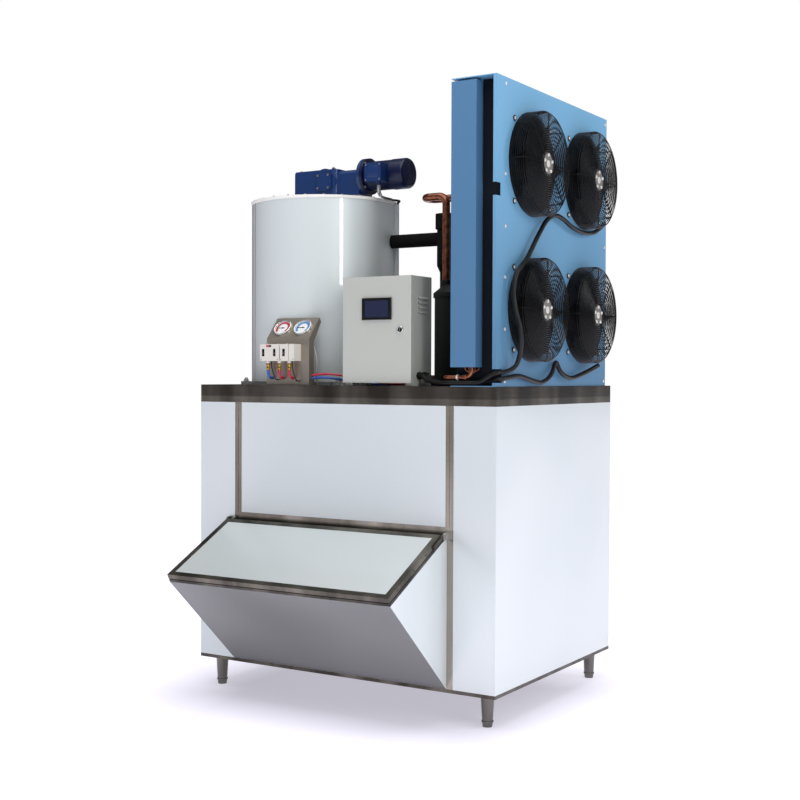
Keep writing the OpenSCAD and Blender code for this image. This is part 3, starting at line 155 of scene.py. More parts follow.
@dataclass(frozen=True)
class Finish:
    """One real material with its finish.

    The second colour is the other end of the grain's tint, edge_mm the radius that folded and cast
    edges show, and gloss the strength of the mirror image on a surface that is no metal.
    """

    name: str
    colour: str
    metal: float = 0.0
    rough: float = 0.4
    coat: float = 0.0
    grain: Grain = Grain.NONE
    second: str = ""
    edge_mm: float = 0.0
    glow: float = 0.0
    coat_rough: float = 0.08
    gloss: float = 0.5

    def material(self) -> bpy.types.Material:
        """The Blender material of this finish, made once."""
        found = bpy.data.materials.get(self.name)
        return found or self._make()

    def _make(self) -> bpy.types.Material:
        """Builds the node tree of this finish.

        Returns:
            The new material.
        """
        made = bpy.data.materials.new(self.name)
        made.use_nodes = True
        tree = made.node_tree
        shader = tree.nodes["Principled BSDF"]
        values = {
            "Base Color": linear(self.colour),
            "Metallic": self.metal,
            "Roughness": self.rough,
            "Specular IOR Level": self.gloss,
            "Coat Weight": self.coat,
            "Coat Roughness": self.coat_rough,
        }
        if self.glow:
            values |= {"Emission Color": linear(self.colour), "Emission Strength": self.glow}
        for socket, value in values.items():
            shader.inputs[socket].default_value = value
        normal = self._grain(tree, shader, self._edges(tree))
        if normal is not None:
            tree.links.new(normal, shader.inputs["Normal"])
        return made

    def _edges(self, tree: bpy.types.NodeTree) -> bpy.types.NodeSocket | None:
        """Softens the edges of folded sheet where the finish asks for it.

        Args:
            tree: the finish's node tree.

        Returns:
            The softened normal, or none where the edges stay sharp.
        """
        if not self.edge_mm:
            return None
        bevel = add_node(tree, "ShaderNodeBevel", {"Radius": self.edge_mm * MM}, samples=4)
        return bevel.outputs["Normal"]

    def _noise(
        self, tree: bpy.types.NodeTree, cell_mm: Sequence[float], detail: float = 3.0
    ) -> bpy.types.NodeSocket:
        """Noise whose cells have a real size along each axis, in millimetres.

        Args:
            tree: the finish's node tree.
            cell_mm: size of a cell along X, Y and Z.
            detail: how many finer layers it has.

        Returns:
            The noise, from 0 to 1.
        """
        place = add_node(tree, "ShaderNodeTexCoord")
        per_metre = tuple(1 / (size * MM) for size in cell_mm)
        stretch = add_node(
            tree, "ShaderNodeMapping", {"Vector": place.outputs["Object"], "Scale": per_metre}
        )
        noise = add_node(
            tree,
            "ShaderNodeTexNoise",
            {"Vector": stretch.outputs["Vector"], "Scale": 1.0, "Detail": detail},
        )
        return noise.outputs["Fac"]

    def _bump(
        self,
        tree: bpy.types.NodeTree,
        height: bpy.types.NodeSocket,
        depth_mm: float,
        normal: bpy.types.NodeSocket | None,
    ) -> bpy.types.NodeSocket:
        """A bump of a real depth over a height field from 0 to 1.

        Args:
            tree: the finish's node tree.
            height: the height field.
            depth_mm: depth of the bump in millimetres.
            normal: the normal so far, where there is one.

        Returns:
            The bumped normal.
        """
        values: dict = {"Height": height, "Strength": 1.0, "Distance": depth_mm * MM}
        if normal is not None:
            values["Normal"] = normal
        return add_node(tree, "ShaderNodeBump", values).outputs["Normal"]

    def _mix(
        self, tree: bpy.types.NodeTree, factor: bpy.types.NodeSocket, low: float, high: float
    ) -> bpy.types.NodeSocket:
        """The factor stretched so that low gives 0 and high gives 1.

        Args:
            tree: the finish's node tree.
            factor: the value to stretch.
            low: value that gives 0.
            high: value that gives 1.

        Returns:
            The stretched factor.
        """
        ramp = add_node(
            tree, "ShaderNodeMapRange", {"Value": factor, "From Min": low, "From Max": high}
        )
        return ramp.outputs["Result"]

    def _tint(
        self, tree: bpy.types.NodeTree, shader: bpy.types.Node, factor: bpy.types.NodeSocket
    ) -> None:
        """Runs the base colour from the first to the second colour.

        Args:
            tree: the finish's node tree.
            shader: its surface shader.
            factor: 0 for the first colour, 1 for the second.
        """
        mix = add_node(tree, "ShaderNodeMix", {"Factor": factor}, data_type="RGBA")
        mix.inputs[6].default_value = linear(self.colour)
        mix.inputs[7].default_value = linear(self.second or self.colour)
        tree.links.new(mix.outputs[2], shader.inputs["Base Color"])

    def _grain(
        self,
        tree: bpy.types.NodeTree,
        shader: bpy.types.Node,
        normal: bpy.types.NodeSocket | None,
    ) -> bpy.types.NodeSocket | None:
        """Adds the surface structure, and the painted light that some grains tint in.

        Args:
            tree: the finish's node tree.
            shader: its surface shader.
            normal: the normal so far, where there is one.

        Returns:
            The normal that comes out of the structure.
        """
        if self.grain is Grain.BRUSHED:
            cloud = self._noise(tree, SHEET_CLOUD_MM, 1.0)
            self._tint(tree, shader, self._mix(tree, cloud, 0.35, 0.65))
            return self._bump(tree, self._noise(tree, BRUSH_MARK_MM, 2.0), 0.004, normal)
        if self.grain is Grain.PAINTED_REFLECTION_STREAKS:
            # Painted reflection: pale streaks of the room tinted into the polished steel, over a
            # bump of the sheet's waves
            streaks = self._noise(tree, REFLECTION_STREAK_MM, 4.0)
            self._tint(tree, shader, self._mix(tree, streaks, 0.42, 0.68))
            return self._bump(tree, self._noise(tree, SHEET_WAVE_MM, 2.0), 0.1, normal)
        if self.grain is Grain.PAINTED_TOP_LIGHT:
            # Painted light: the coat runs paler from 1.1 m to 1.9 m up, for the light that falls
            # from above
            place = add_node(tree, "ShaderNodeTexCoord")
            axes = add_node(tree, "ShaderNodeSeparateXYZ", {"Vector": place.outputs["Object"]})
            self._tint(tree, shader, self._mix(tree, axes.outputs["Z"], 1.1, 1.9))
        if self.grain in (Grain.POWDER, Grain.PAINTED_TOP_LIGHT):
            return self._bump(tree, self._noise(tree, POWDER_GRIT_MM, 2.0), 0.03, normal)
        if self.grain is Grain.CAST:
            return self._bump(tree, self._noise(tree, CAST_GRAIN_MM, 3.0), 0.16, normal)
        if self.grain is Grain.CRINKLED:
            patches = self._noise(tree, HEAT_PATCH_MM, 4.0)
            self._tint(tree, shader, self._mix(tree, patches, 0.35, 0.7))
            return self._bump(tree, patches, 0.5, normal)
        if self.grain is Grain.FINS:
            # The fins' pattern, over a dark base that is painted shade in the gaps between the fins
            place = add_node(tree, "ShaderNodeTexCoord")
            waves = add_node(
                tree,
                "ShaderNodeTexWave",
                {
                    "Vector": place.outputs["Object"],
                    "Scale": 2 * math.pi / (WAVE_RADIANS * FIN_PITCH_MM * MM),
                },
                bands_direction="Y",
            )
            self._tint(tree, shader, waves.outputs["Fac"])
            return self._bump(tree, waves.outputs["Fac"], 1.0, normal)
        return normal


class Palette:
    """Every finish of the machine, by what it is."""

    # Stainless sheet under its protective film: pale, with a soft sheen and faint clouds
    FILM_STEEL = Finish(
        "stainless_sheet_with_film", "#dae2e3", metal=0.15, rough=0.3, coat=0.35,
        grain=Grain.BRUSHED, second="#e2e8e9", edge_mm=1.2,
    )
    # Bright rolled jacket: one sharp upright highlight on a pale sheet
    DRUM_STEEL = Finish(
        "bright_stainless_jacket", "#dee6e5", metal=0.2, rough=0.45, coat=1.0, edge_mm=1.0,
        coat_rough=0.02,
    )
    # Plain brushed stainless: even mid grey
    GREY_STEEL = Finish(
        "plain_brushed_stainless", "#8c8c8b", metal=0.55, rough=0.42, grain=Grain.BRUSHED,
        second="#a5a5a4", edge_mm=1.0,
    )
    # The hopper's sloping front with painted shade: matt grey for the face that looks down, away
    # from the light
    HOPPER_FRONT_SHADE = Finish(
        "hopper_front_painted_shade", "#767676", metal=0.5, rough=0.45, grain=Grain.BRUSHED,
        second="#888888", edge_mm=1.0,
    )
    # Mirror-polished strip with painted reflection: a dark base for the dark room it mirrors, and
    # warm pale streaks of the room tinted in
    TRIM = Finish(
        "polished_stainless_strip", "#38342f", metal=0.85, rough=0.22, grain=Grain.PAINTED_REFLECTION_STREAKS,
        second="#6c675e", edge_mm=0.8,
    )
    # Polished rail: the same painted reflection as the strip, a little lighter
    RAIL = Finish(
        "polished_stainless_rail", "#4c4841", metal=0.8, rough=0.25, grain=Grain.PAINTED_REFLECTION_STREAKS,
        second="#8a8478", edge_mm=0.8,
    )
    # Polished post with painted reflection: warm grey with soft pale streaks of the room
    POST = Finish(
        "polished_stainless_post", "#7a7267", metal=0.75, rough=0.25, grain=Grain.PAINTED_REFLECTION_STREAKS,
        second="#b0a99d", edge_mm=0.8,
    )
    # Turned and polished leg: sharp dark and bright bands
    LEG = Finish("polished_leg", "#6f6c67", metal=1.0, rough=0.1, edge_mm=0.8)
    # Brushed bracket: warm grey, duller than the trim
    BRACKET = Finish(
        "stainless_bracket", "#8b8073", metal=0.7, rough=0.34, grain=Grain.BRUSHED,
        second="#a29a8e", edge_mm=0.6,
    )
    # Cream sealant on the cover's rim: matt and warm white
    RIM = Finish("cream_rim_sealant", "#f3f3ec", rough=0.45, coat=0.1, edge_mm=1.0)
    # Zinc-plated steel: pale metal with a broad highlight
    STEEL = Finish("zinc_plated_steel", "#b9b6b0", metal=0.9, rough=0.3)
    # Bright zinc: small near-white glints
    BRIGHT = Finish("bright_zinc_screws", "#e9e7e1", metal=0.35, rough=0.3, coat=0.2)
    # Cast aluminium: grey and grainy
    CAST_ALUMINIUM = Finish(
        "cast_aluminium", "#8d8a84", metal=0.6, rough=0.42, grain=Grain.CAST, edge_mm=1.0,
    )
    # Enamel over a casting: deep blue with rounded, glossy edges
    GEAR = Finish("blue_enamel", "#0d3066", rough=0.36, coat=0.25, grain=Grain.CAST, edge_mm=2.0)
    # Darker enamel on the motor: nearly black in shade
    MOTOR = Finish(
        "dark_blue_enamel", "#07143a", rough=0.36, coat=0.1, grain=Grain.CAST, edge_mm=2.0,
        gloss=0.3,
    )
    # Grey powder coat: satin with a fine grit
    BOX = Finish(
        "grey_powder_coat", "#cdd0c8", metal=0.3, rough=0.36, coat=0.2, grain=Grain.POWDER,
        edge_mm=2.0,
    )
    # Blue powder coat with painted light: paler towards the top, where more light falls from above
    PANEL = Finish(
        "blue_powder_coat", "#4f7c9e", rough=0.46, coat=0.1, grain=Grain.PAINTED_TOP_LIGHT, second="#72aace",
        edge_mm=1.0,
    )
    # The same blue coat on the header cover, as a shaded copy: one even darker blue of painted
    # shade
    COVER_SHADED = Finish(
        "blue_coat_shaded_copy", "#4c799f", rough=0.5, coat=0.08, grain=Grain.POWDER, edge_mm=1.0,
    )
    # Black sheet of painted shade: stands for the deep shadow in the condenser's recess
    SHADE = Finish("black_painted_shade", "#10141b", rough=0.9, gloss=0.2)
    # Satin black paint: black with a weak sheen
    BLACK = Finish("satin_black_paint", "#080809", rough=0.5, gloss=0.2)
    # Plastic-coated wire: black with thin glints
    WIRE = Finish("black_coated_wire", "#040405", rough=0.32, gloss=0.35)
    # Black paint over a casting: dull, with worn soft edges
    COMPRESSOR = Finish(
        "black_cast_paint", "#111412", rough=0.5, coat=0.05, grain=Grain.CAST, edge_mm=2.0,
        gloss=0.25,
    )
    # Foamed pipe insulation: flat black
    FOAM = Finish(
        "black_pipe_insulation", "#070707", rough=0.85, grain=Grain.CAST, edge_mm=1.5, gloss=0.2,
    )
    # Rubber: dull black
    RUBBER = Finish("black_rubber", "#101010", rough=0.6)
    # Flexible conduit: black plastic with one soft line of light
    CONDUIT = Finish("black_flexible_conduit", "#0d0d0e", rough=0.42, coat=0.05, gloss=0.3)
    # Brazed copper: brown patches over red metal
    COPPER = Finish(
        "heat_tinted_copper", "#6e4134", metal=0.85, rough=0.3, grain=Grain.CRINKLED,
        second="#a56a4e",
    )
    # Stacked fins: the fine pale lines are the fins' edges, the dark base painted shade in the gaps
    # between them
    FINS = Finish(
        "aluminium_fins", "#1b1d20", metal=0.5, rough=0.6, grain=Grain.FINS, second="#4d5157",
        gloss=0.3,
    )
    # Screen glass: black and clear
    SCREEN = Finish("screen_glass", "#0a0b0f", rough=0.12, coat=0.8, edge_mm=1.5)
    # Idle display: dark blue with a faint light of its own
    DISPLAY = Finish("dark_display", "#1d2440", rough=0.18, coat=0.8, glow=0.05)
    # Printed dial: matt white
    DIAL = Finish("white_dial", "#eef0ef", rough=0.5)
    # Printed scale and red button: plain red
    RED = Finish("red_scale", "#c02a3f", rough=0.45)
    # Printed scale: plain blue
    BLUE = Finish("blue_scale", "#3f86c4", rough=0.45)
    # Chrome: mirrors the room
    CHROME = Finish("chrome_bezel", "#d6d6d4", metal=1.0, rough=0.12)
    # Moulded plastic: warm white with a soft shine
    SWITCH = Finish("ivory_plastic", "#e2ddd3", rough=0.42, coat=0.15, edge_mm=1.2)
    # Smoked window: black gloss
    SMOKE = Finish("smoked_window", "#15171a", rough=0.15, coat=0.5)
    # Machined brass: yellow with clear highlights
    BRASS = Finish("brass_fitting", "#c99f4b", metal=1.0, rough=0.24)
    # Hose rubber, red, blue and black: smooth with a wet-looking line of light
    HOSE_RED = Finish("red_hose_rubber", "#c51f43", rough=0.35, coat=0.3)
    HOSE_BLUE = Finish("blue_hose_rubber", "#2f5fc0", rough=0.35, coat=0.3)
    HOSE_BLACK = Finish("black_hose_rubber", "#161616", rough=0.4, coat=0.2)
    # Wound metal sleeve: silver with fine rings
    SILVER = Finish("silver_flexible_sleeve", "#b9bab8", metal=0.8, rough=0.35)
    # Plastic pipe: plain white
    PIPE_WHITE = Finish("white_plastic_pipe", "#e6e7e5", rough=0.35, coat=0.2)


class Shape:
    """A mesh under construction in the frame, in metres."""

    def __init__(self) -> None:
        """Starts an empty mesh."""
        self.bm = bmesh.new()

    @staticmethod
    def _along(axis: Sequence[float]) -> Matrix:
        """A turn that takes Z to an axis."""
        return Vector(axis).to_track_quat("Z", "Y").to_matrix().to_4x4()

    def block(self, low: Vector, high: Vector, bevel: float = 0.0) -> "Shape":
        """Adds a box between two corners.

        Args:
            low: lowest corner.
            high: highest corner.
            bevel: width of the rounded edges.

        Returns:
            The shape itself.
        """
        size = high - low
        matrix = Matrix.Translation((low + high) / 2) @ Matrix.Diagonal((*size, 1.0))
        made = bmesh.ops.create_cube(self.bm, size=1.0, matrix=matrix)
        self._round(made["verts"], bevel)
        return self

    def _round(self, verts: Iterable[bmesh.types.BMVert], bevel: float) -> None:
        """Rounds the sharp edges among the given vertices.

        Args:
            verts: the vertices.
            bevel: width of the rounded edges, none at 0.
        """
        if bevel <= 0:
            return
        edges = {e for v in verts for e in v.link_edges}
        sharp = [e for e in edges if len(e.link_faces) == 2 and e.calc_face_angle() > SHARP_TURN]
        bmesh.ops.bevel(
            self.bm,
            geom=sharp,
            offset=bevel,
            offset_type="OFFSET",
            affect="EDGES",
            segments=3,
            profile=0.5,
            material=-1,
        )

    def rod(
        self,
        base: Vector,
        axis: Sequence[float],
        radius: float,
        height: float,
        sides: int = 32,
        bevel: float = 0.0,
        top: float | None = None,
    ) -> "Shape":
        """Adds a cylinder or a cone from a base point along an axis.

        Args:
            base: centre of the lower end.
            axis: direction of the height.
            radius: radius of the lower end.
            height: length along the axis.
            sides: sides of the outline.
            bevel: width of the rounded edges.
            top: radius of the upper end, the same where left out.

        Returns:
            The shape itself.
        """
        turn = self._along(axis)
        middle = base + Vector(axis).normalized() * (height / 2)
        made = bmesh.ops.create_cone(
            self.bm,
            cap_ends=True,
            cap_tris=False,
            segments=sides,
            radius1=radius,
            radius2=radius if top is None else top,
            depth=height,
            matrix=Matrix.Translation(middle) @ turn,
        )
        self._round(made["verts"], bevel)
        return self

    def _spin(
        self,
        geom: list[bmesh.types.BMVert | bmesh.types.BMEdge],
        centre: Vector,
        axis: Sequence[float],
        steps: int,
    ) -> None:
        """Sweeps an outline once round an axis through a centre.

        Args:
            geom: the outline's vertices and edges.
            centre: a point of the axis.
            axis: direction of the axis.
            steps: corners around it.
        """
        bmesh.ops.spin(
            self.bm,
            geom=geom,
            cent=centre,
            axis=Vector(axis),
            dvec=(0, 0, 0),
            angle=2 * math.pi,
            steps=steps,
            use_merge=True,
            use_normal_flip=False,
            use_duplicate=False,
        )

    def hoop(
        self,
        centre: Vector,
        axis: Sequence[float],
        radius: float,
        wire: float,
        steps: int = 72,
        sides: int = 8,
    ) -> "Shape":
        """Adds a round wire bent into a full ring.

        Args:
            centre: middle of the ring.
            axis: the ring's axis.
            radius: radius to the wire's middle.
            wire: radius of the wire.
            steps: corners around the ring.
            sides: sides of the wire.

        Returns:
            The shape itself.
        """
        turn = self._along(axis)
        start = Matrix.Translation(centre + turn @ Vector((radius, 0, 0)))
        made = bmesh.ops.create_circle(
            self.bm,
            cap_ends=False,
            radius=wire,
            segments=sides,
            matrix=start @ turn @ Matrix.Rotation(math.pi / 2, 4, "X"),
        )
        edges = list({e for v in made["verts"] for e in v.link_edges})
        self._spin(list(made["verts"]) + edges, centre, axis, steps)
        return self

    def band(
        self,
        base: Vector,
        axis: Sequence[float],
        inner: float,
        outer: float,
        height: float,
        steps: int = 96,
    ) -> "Shape":
        """Adds a flat ring.

        Args:
            base: middle of the ring's lower face.
            axis: the ring's axis.
            inner: inner radius.
            outer: outer radius.
            height: thickness along the axis.
            steps: corners around the ring.

        Returns:
            The shape itself.
        """
        out = self._along(axis) @ Vector((1, 0, 0))
        lift = Vector(axis).normalized() * height
        corners = (out * inner, out * outer, out * outer + lift, out * inner + lift)
        verts = [self.bm.verts.new(base + corner) for corner in corners]
        edges = [self.bm.edges.new((a, b)) for a, b in zip(verts, verts[1:] + verts[:1])]
        self._spin(verts + edges, base, axis, steps)
        return self

    def tube(self, path: Sequence[Vector], radius: float, sides: int = 10) -> "Shape":
        """Adds a closed round tube along a path.

        Args:
            path: points of the middle line.
            radius: radius of the tube.
            sides: sides of the section.

        Returns:
            The shape itself.
        """
        count = len(path)
        rings = []
        normal = Vector((0.3, 0.2, 1.0))
        for i, point in enumerate(path):
            ahead = (path[min(i + 1, count - 1)] - path[max(i - 1, 0)]).normalized()
            normal = (normal - ahead * normal.dot(ahead)).normalized()
            side = ahead.cross(normal)
            rings.append(
                [
                    self.bm.verts.new(
                        point
                        + radius * math.cos(2 * math.pi * k / sides) * normal
                        + radius * math.sin(2 * math.pi * k / sides) * side
                    )
                    for k in range(sides)
                ]
            )
        for low, high in zip(rings, rings[1:]):
            for k in range(sides):
                n = (k + 1) % sides
                self.bm.faces.new((low[k], low[n], high[n], high[k]))
        self.bm.faces.new(list(reversed(rings[0])))
        self.bm.faces.new(rings[-1])
        return self

    def plate(self, corners: Sequence[Vector], lift: Vector) -> "Shape":
        """Adds a flat plate with the given outline, extruded by a vector.

        Args:
            corners: the outline.
            lift: the way to the plate's other face.

        Returns:
            The shape itself.
        """
        face = self.bm.faces.new([self.bm.verts.new(c) for c in corners])
        made = bmesh.ops.extrude_face_region(self.bm, geom=[face])
        moved = [v for v in made["geom"] if isinstance(v, bmesh.types.BMVert)]
        bmesh.ops.translate(self.bm, vec=lift, verts=moved)
        return self

    def piece(
        self,
        name: str,
        finish: Finish,
        slot: str,
        body: str = BASE,
        replaces: Sequence[str] = (),
    ) -> bpy.types.Object:
        """Makes the object, gives it its finish and lets it ride on a body.

        Args:
            name: the piece's name.
            finish: its finish.
            slot: the record's material slot; not used.
            body: the body that carries it.
            replaces: the nodes that it stands for.

        Returns:
            The new object.
        """
        bmesh.ops.recalc_face_normals(self.bm, faces=self.bm.faces)
        mesh = bpy.data.meshes.new(name)
        self.bm.to_mesh(mesh)
        self.bm.free()
        mesh.polygons.foreach_set("use_smooth", [True] * len(mesh.polygons))
        mesh.set_sharp_from_angle(angle=math.radians(SHARP_EDGE))
        made = bpy.data.objects.new(name, mesh)
        bpy.context.scene.collection.objects.link(made)
        made.data.materials.append(finish.material())
        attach(made, body)
        if replaces:
            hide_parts(*replaces)
        LOG.info("%s: %d faces on %s", name, len(mesh.polygons), body)
        return made


def smooth(points: Sequence[Vector], steps: int = 8) -> list[Vector]:
    """A smooth line through points.

    Args:
        points: points that the line passes through.
        steps: points per stretch.

    Returns:
        The points of the line, ends included.
    """
    line = []
    last = len(points) - 1
    for i in range(last):
        a, b, c, d = (points[max(0, min(last, i + k))] for k in (-1, 0, 1, 2))
        for k in range(steps):
            t = k / steps
            line.append(
                0.5
                * (
                    2 * b
                    + (c - a) * t
                    + (2 * a - 5 * b + 4 * c - d) * t * t
                    + (3 * b - a - 3 * c + d) * t * t * t
                )
            )
    line.append(points[last].copy())
    return line


@dataclass(frozen=True)
class SoftBox:
    """One lamp of the studio: where it hangs, what it faces, its size and its watts."""

    name: str
    place_m: tuple[float, float, float]
    aim_m: tuple[float, float, float]
    size_m: tuple[float, float]
    power: float

    def hang(self) -> None:
        """Hangs the lamp."""
        data = bpy.data.lights.new(self.name, "AREA")
        data.shape = "RECTANGLE"
        data.size, data.size_y = self.size_m
        data.energy = self.power
        made = bpy.data.objects.new(self.name, data)
        made.location = self.place_m
        ahead = Vector(self.aim_m) - Vector(self.place_m)
        made.rotation_euler = ahead.to_track_quat("-Z", "Y").to_euler()
        bpy.context.scene.collection.objects.link(made)


@dataclass
class Studio:
    """Camera, floor, lights and background."""

    focal_px: float = 1299.6
    picture_px: float = 800.0
    sensor_mm: float = 36.0
    camera_mm: tuple[float, float, float] = (3135.0, -3673.0, 1142.0)
    yaw: float = 31.78
    pitch: float = -1.10
    roll: float = 0.21
    view_m: float = 200.0
    floor_m: float = 60.0
    # The floor glows in its lilac colour, the painted shadow's tint; the glow is lowest round the
    # footprint, a painted shadow, and clips to white far out
    floor_colour: str = "#c4c2cc"
    footprint_m: tuple[float, float, float] = (0.5, 0.35, 0.0)
    shade_m: float = 0.5
    glow_in_painted_shadow: float = 0.78
    floor_far: float = 1.7
    room_colour: str = "#f6f8f8"
    room_bright_way: tuple[float, float, float] = (0.66, -0.3, 0.55)
    room_dim: float = 0.05
    room_bright: float = 0.28
    lamps: tuple[SoftBox, ...] = (
        SoftBox("top_box", (0.3, -1.2, 4.6), (0.0, 0.0, 1.2), (4.0, 4.0), 122.0),
        SoftBox("right_box", (4.0, 1.9, 2.8), (0.6, 0.0, 1.3), (1.1, 1.4), 34.0),
        SoftBox("strip_box", (3.1, -1.9, 2.1), (-0.2, 0.0, 1.5), (0.36, 2.4), 28.0),
    )

    def camera(self) -> None:
        """Sets the camera where the photograph was taken from."""
        data = bpy.data.cameras.new("camera")
        data.sensor_width = self.sensor_mm
        data.lens = self.focal_px / self.picture_px * self.sensor_mm
        data.clip_end = self.view_m
        made = bpy.data.objects.new("camera", data)
        turn = (
            Matrix.Rotation(math.radians(self.yaw), 4, "Z")
            @ Matrix.Rotation(math.radians(90 + self.pitch), 4, "X")
            @ Matrix.Rotation(math.radians(self.roll), 4, "Z")
        )
        made.matrix_world = Matrix.Translation(at(*self.camera_mm)) @ turn
        bpy.context.scene.collection.objects.link(made)
        bpy.context.scene.camera = made

    def floor(self) -> None:
        """Lays the pale floor, with a painted shadow round the machine."""
        grid = bmesh.new()
        bmesh.ops.create_grid(grid, x_segments=1, y_segments=1, size=self.floor_m / 2)
        mesh = bpy.data.meshes.new("floor")
        grid.to_mesh(mesh)
        grid.free()
        made = bpy.data.objects.new("floor", mesh)
        bpy.context.scene.collection.objects.link(made)
        made.data.materials.append(self._floor_glow_with_painted_shadow())

    def _floor_glow_with_painted_shadow(self) -> bpy.types.Material:
        """Matt paint that glows dimmest round the machine's footprint, a painted shadow, and
        brighter far from it, so that the floor shows no edge.

        Returns:
            The floor's material.
        """
        paint = Finish("pale_floor_with_painted_shadow", self.floor_colour, rough=0.9, glow=1.0).material()
        tree = paint.node_tree
        vector = "ShaderNodeVectorMath"
        place = add_node(tree, "ShaderNodeTexCoord")
        away = add_node(tree, vector, {0: place.outputs["Object"]}, operation="ABSOLUTE")
        past = add_node(
            tree, vector, {0: away.outputs[0], 1: self.footprint_m}, operation="SUBTRACT"
        )
        out = add_node(tree, vector, {0: past.outputs[0], 1: (0, 0, 0)}, operation="MAXIMUM")
        reach = add_node(tree, vector, {0: out.outputs[0]}, operation="LENGTH")
        grow = add_node(
            tree,
            "ShaderNodeMapRange",
            {
                "Value": reach.outputs["Value"],
                "From Min": 0.0,
                "From Max": self.shade_m,
                "To Min": self.glow_in_painted_shadow,
                "To Max": self.floor_far,
            },
        )
        sockets = tree.nodes["Principled BSDF"].inputs
        tree.links.new(grow.outputs["Result"], sockets["Emission Strength"])
        return paint

    def world(self) -> None:
        """A white background, and a softly graded room for everything that is lit by it."""
        world = bpy.data.worlds.new("studio")
        bpy.context.scene.world = world
        world.use_nodes = True
        tree = world.node_tree
        tree.nodes.clear()
        place = add_node(tree, "ShaderNodeTexCoord")
        lean = add_node(
            tree,
            "ShaderNodeVectorMath",
            {0: place.outputs["Generated"], 1: self.room_bright_way},
            operation="DOT_PRODUCT",
        )
        grade = add_node(
            tree,
            "ShaderNodeMapRange",
            {
                "Value": lean.outputs["Value"],
                "From Min": -0.8,
                "From Max": 0.9,
                "To Min": self.room_dim,
                "To Max": self.room_bright,
            },
        )
        room = add_node(
            tree,
            "ShaderNodeBackground",
            {"Color": linear(self.room_colour), "Strength": grade.outputs["Result"]},
        )
        white = add_node(tree, "ShaderNodeBackground", {"Color": (1, 1, 1, 1), "Strength": 1.0})
        path = add_node(tree, "ShaderNodeLightPath")
        mix = add_node(
            tree,
            "ShaderNodeMixShader",
            {0: path.outputs["Is Camera Ray"], 1: room.outputs[0], 2: white.outputs[0]},
        )
        add_node(tree, "ShaderNodeOutputWorld", {"Surface": mix.outputs[0]})

    def build(self) -> None:
        """Builds the whole studio."""
        self.camera()
        self.floor()
        self.world()
        for lamp in self.lamps:
            lamp.hang()
        scene = bpy.context.scene
        scene.view_settings.view_transform = "Standard"
        scene.view_settings.look = "None"


@dataclass
class Leads:
    """Conduits, cables and hoses that hang or lie free."""

    conduit_d: float = 16.0
    cable_d: float = 9.0
    hose_d: float = 8.0
    upper: list[tuple[float, float, float]] = field(
        default_factory=lambda: [
            (1248, 794, 1699), (1236, 742, 1667), (1234, 691, 1657), (1236, 619, 1654),
            (1238, 528, 1664), (1238, 458, 1683), (1238, 390, 1689), (1238, 325, 1665),
            (1238, 261, 1610), (1240, 183, 1535), (1246, 122, 1499), (1245, 88, 1471),
            (1244, 74, 1438), (1245, 68, 1400), (1250, 68, 1367), (1256, 74, 1330),
            (1266, 75, 1293), (1266, 82, 1256), (1255, 95, 1213), (1245, 92, 1178),
            (1236, 68, 1160), (1222, 40, 1152), (1207, 24, 1149), (1185, 18, 1138),
            (1150, 14, 1119), (1100, 12, 1117), (1040, 14, 1117), (990, 30, 1116),
            (940, 58, 1124), (901, 72, 1140), (886.3, 72, 1140),
        ]
    )
    lower: list[tuple[float, float, float]] = field(
        default_factory=lambda: [
            (1258, 725, 1180), (1244, 682, 1162), (1236, 612, 1144), (1238, 536, 1134),
            (1238, 480, 1141), (1236, 443, 1158), (1232, 417, 1187), (1234, 386, 1155),
            (1236, 349, 1133), (1236, 297, 1119), (1234, 250, 1122), (1234, 187, 1132),
            (1232, 130, 1140), (1227, 80, 1136), (1222, 38, 1131), (1206, 28, 1128),
            (1180, 34, 1121), (1120, 34, 1117), (1040, 36, 1117), (980, 64, 1116),
            (931, 96, 1124), (901, 108, 1140), (886.3, 108, 1140),
        ]
    )
    motor: list[tuple[float, float, float]] = field(
        default_factory=lambda: [
            (571, 314, 1831.7), (571, 314, 1820), (568, 322, 1806), (560, 344, 1797.5),
            (552, 382, 1796), (549, 428, 1796), (544, 454, 1796), (554.2, 482.4, 1795),
            (549.5, 480.8, 1788), (549.5, 480.8, 1781.3),
        ]
    )
    red_run: list[tuple[float, float, float]] = field(
        default_factory=lambda: [
            (430, 46, 1124), (450, 60, 1138), (490, 74, 1144), (540, 84, 1143),
            (600, 120, 1132), (640, 175, 1118), (700, 230, 1110), (750, 297, 1117),
            (780, 331, 1123), (796, 347, 1124),
        ]
    )
    blue_run: list[tuple[float, float, float]] = field(
        default_factory=lambda: [
            (420, 46, 1116), (446, 58, 1126), (480, 66, 1132), (520, 76, 1131),
            (580, 130, 1120), (620, 190, 1110), (690, 260, 1110), (738, 319, 1117),
            (769, 346, 1123), (785, 359, 1124),
        ]
    )

    def _cord(
        self,
        name: str,
        points: Sequence[tuple[float, float, float]],
        diameter: float,
        finish: Finish,
        slot: str,
        replaces: Sequence[str] = (),
    ) -> None:
        """Args:
            name: the lead's name.
            points: its route in millimetres.
            diameter: its diameter in millimetres.
            finish: its finish.
            slot: the record's material slot.
            replaces: the nodes that it stands for.
        """
        path = smooth([at(*p) for p in points])
        made = Shape().tube(path, diameter / 2 * MM, 12).piece(name, finish, slot, BASE, replaces)

    def build(self) -> None:
        """Makes every lead of the machine."""
        dark, hose = "dark_plastic", "red_hose"
        conduit = (self.conduit_d, Palette.CONDUIT, dark, ["fan_conduits"])
        self._cord("upper_fan_conduit", self.upper, *conduit)
        self._cord("lower_fan_conduit", self.lower, *conduit)
        cable = (self.cable_d, Palette.HOSE_BLACK, dark, ["motor_cable"])
        self._cord("motor_supply_cable", self.motor, *cable)
        self._cord("red_pressure_hose", self.red_run, self.hose_d, Palette.HOSE_RED, hose)
        self._cord("blue_pressure_hose", self.blue_run, self.hose_d, Palette.HOSE_BLUE, hose)


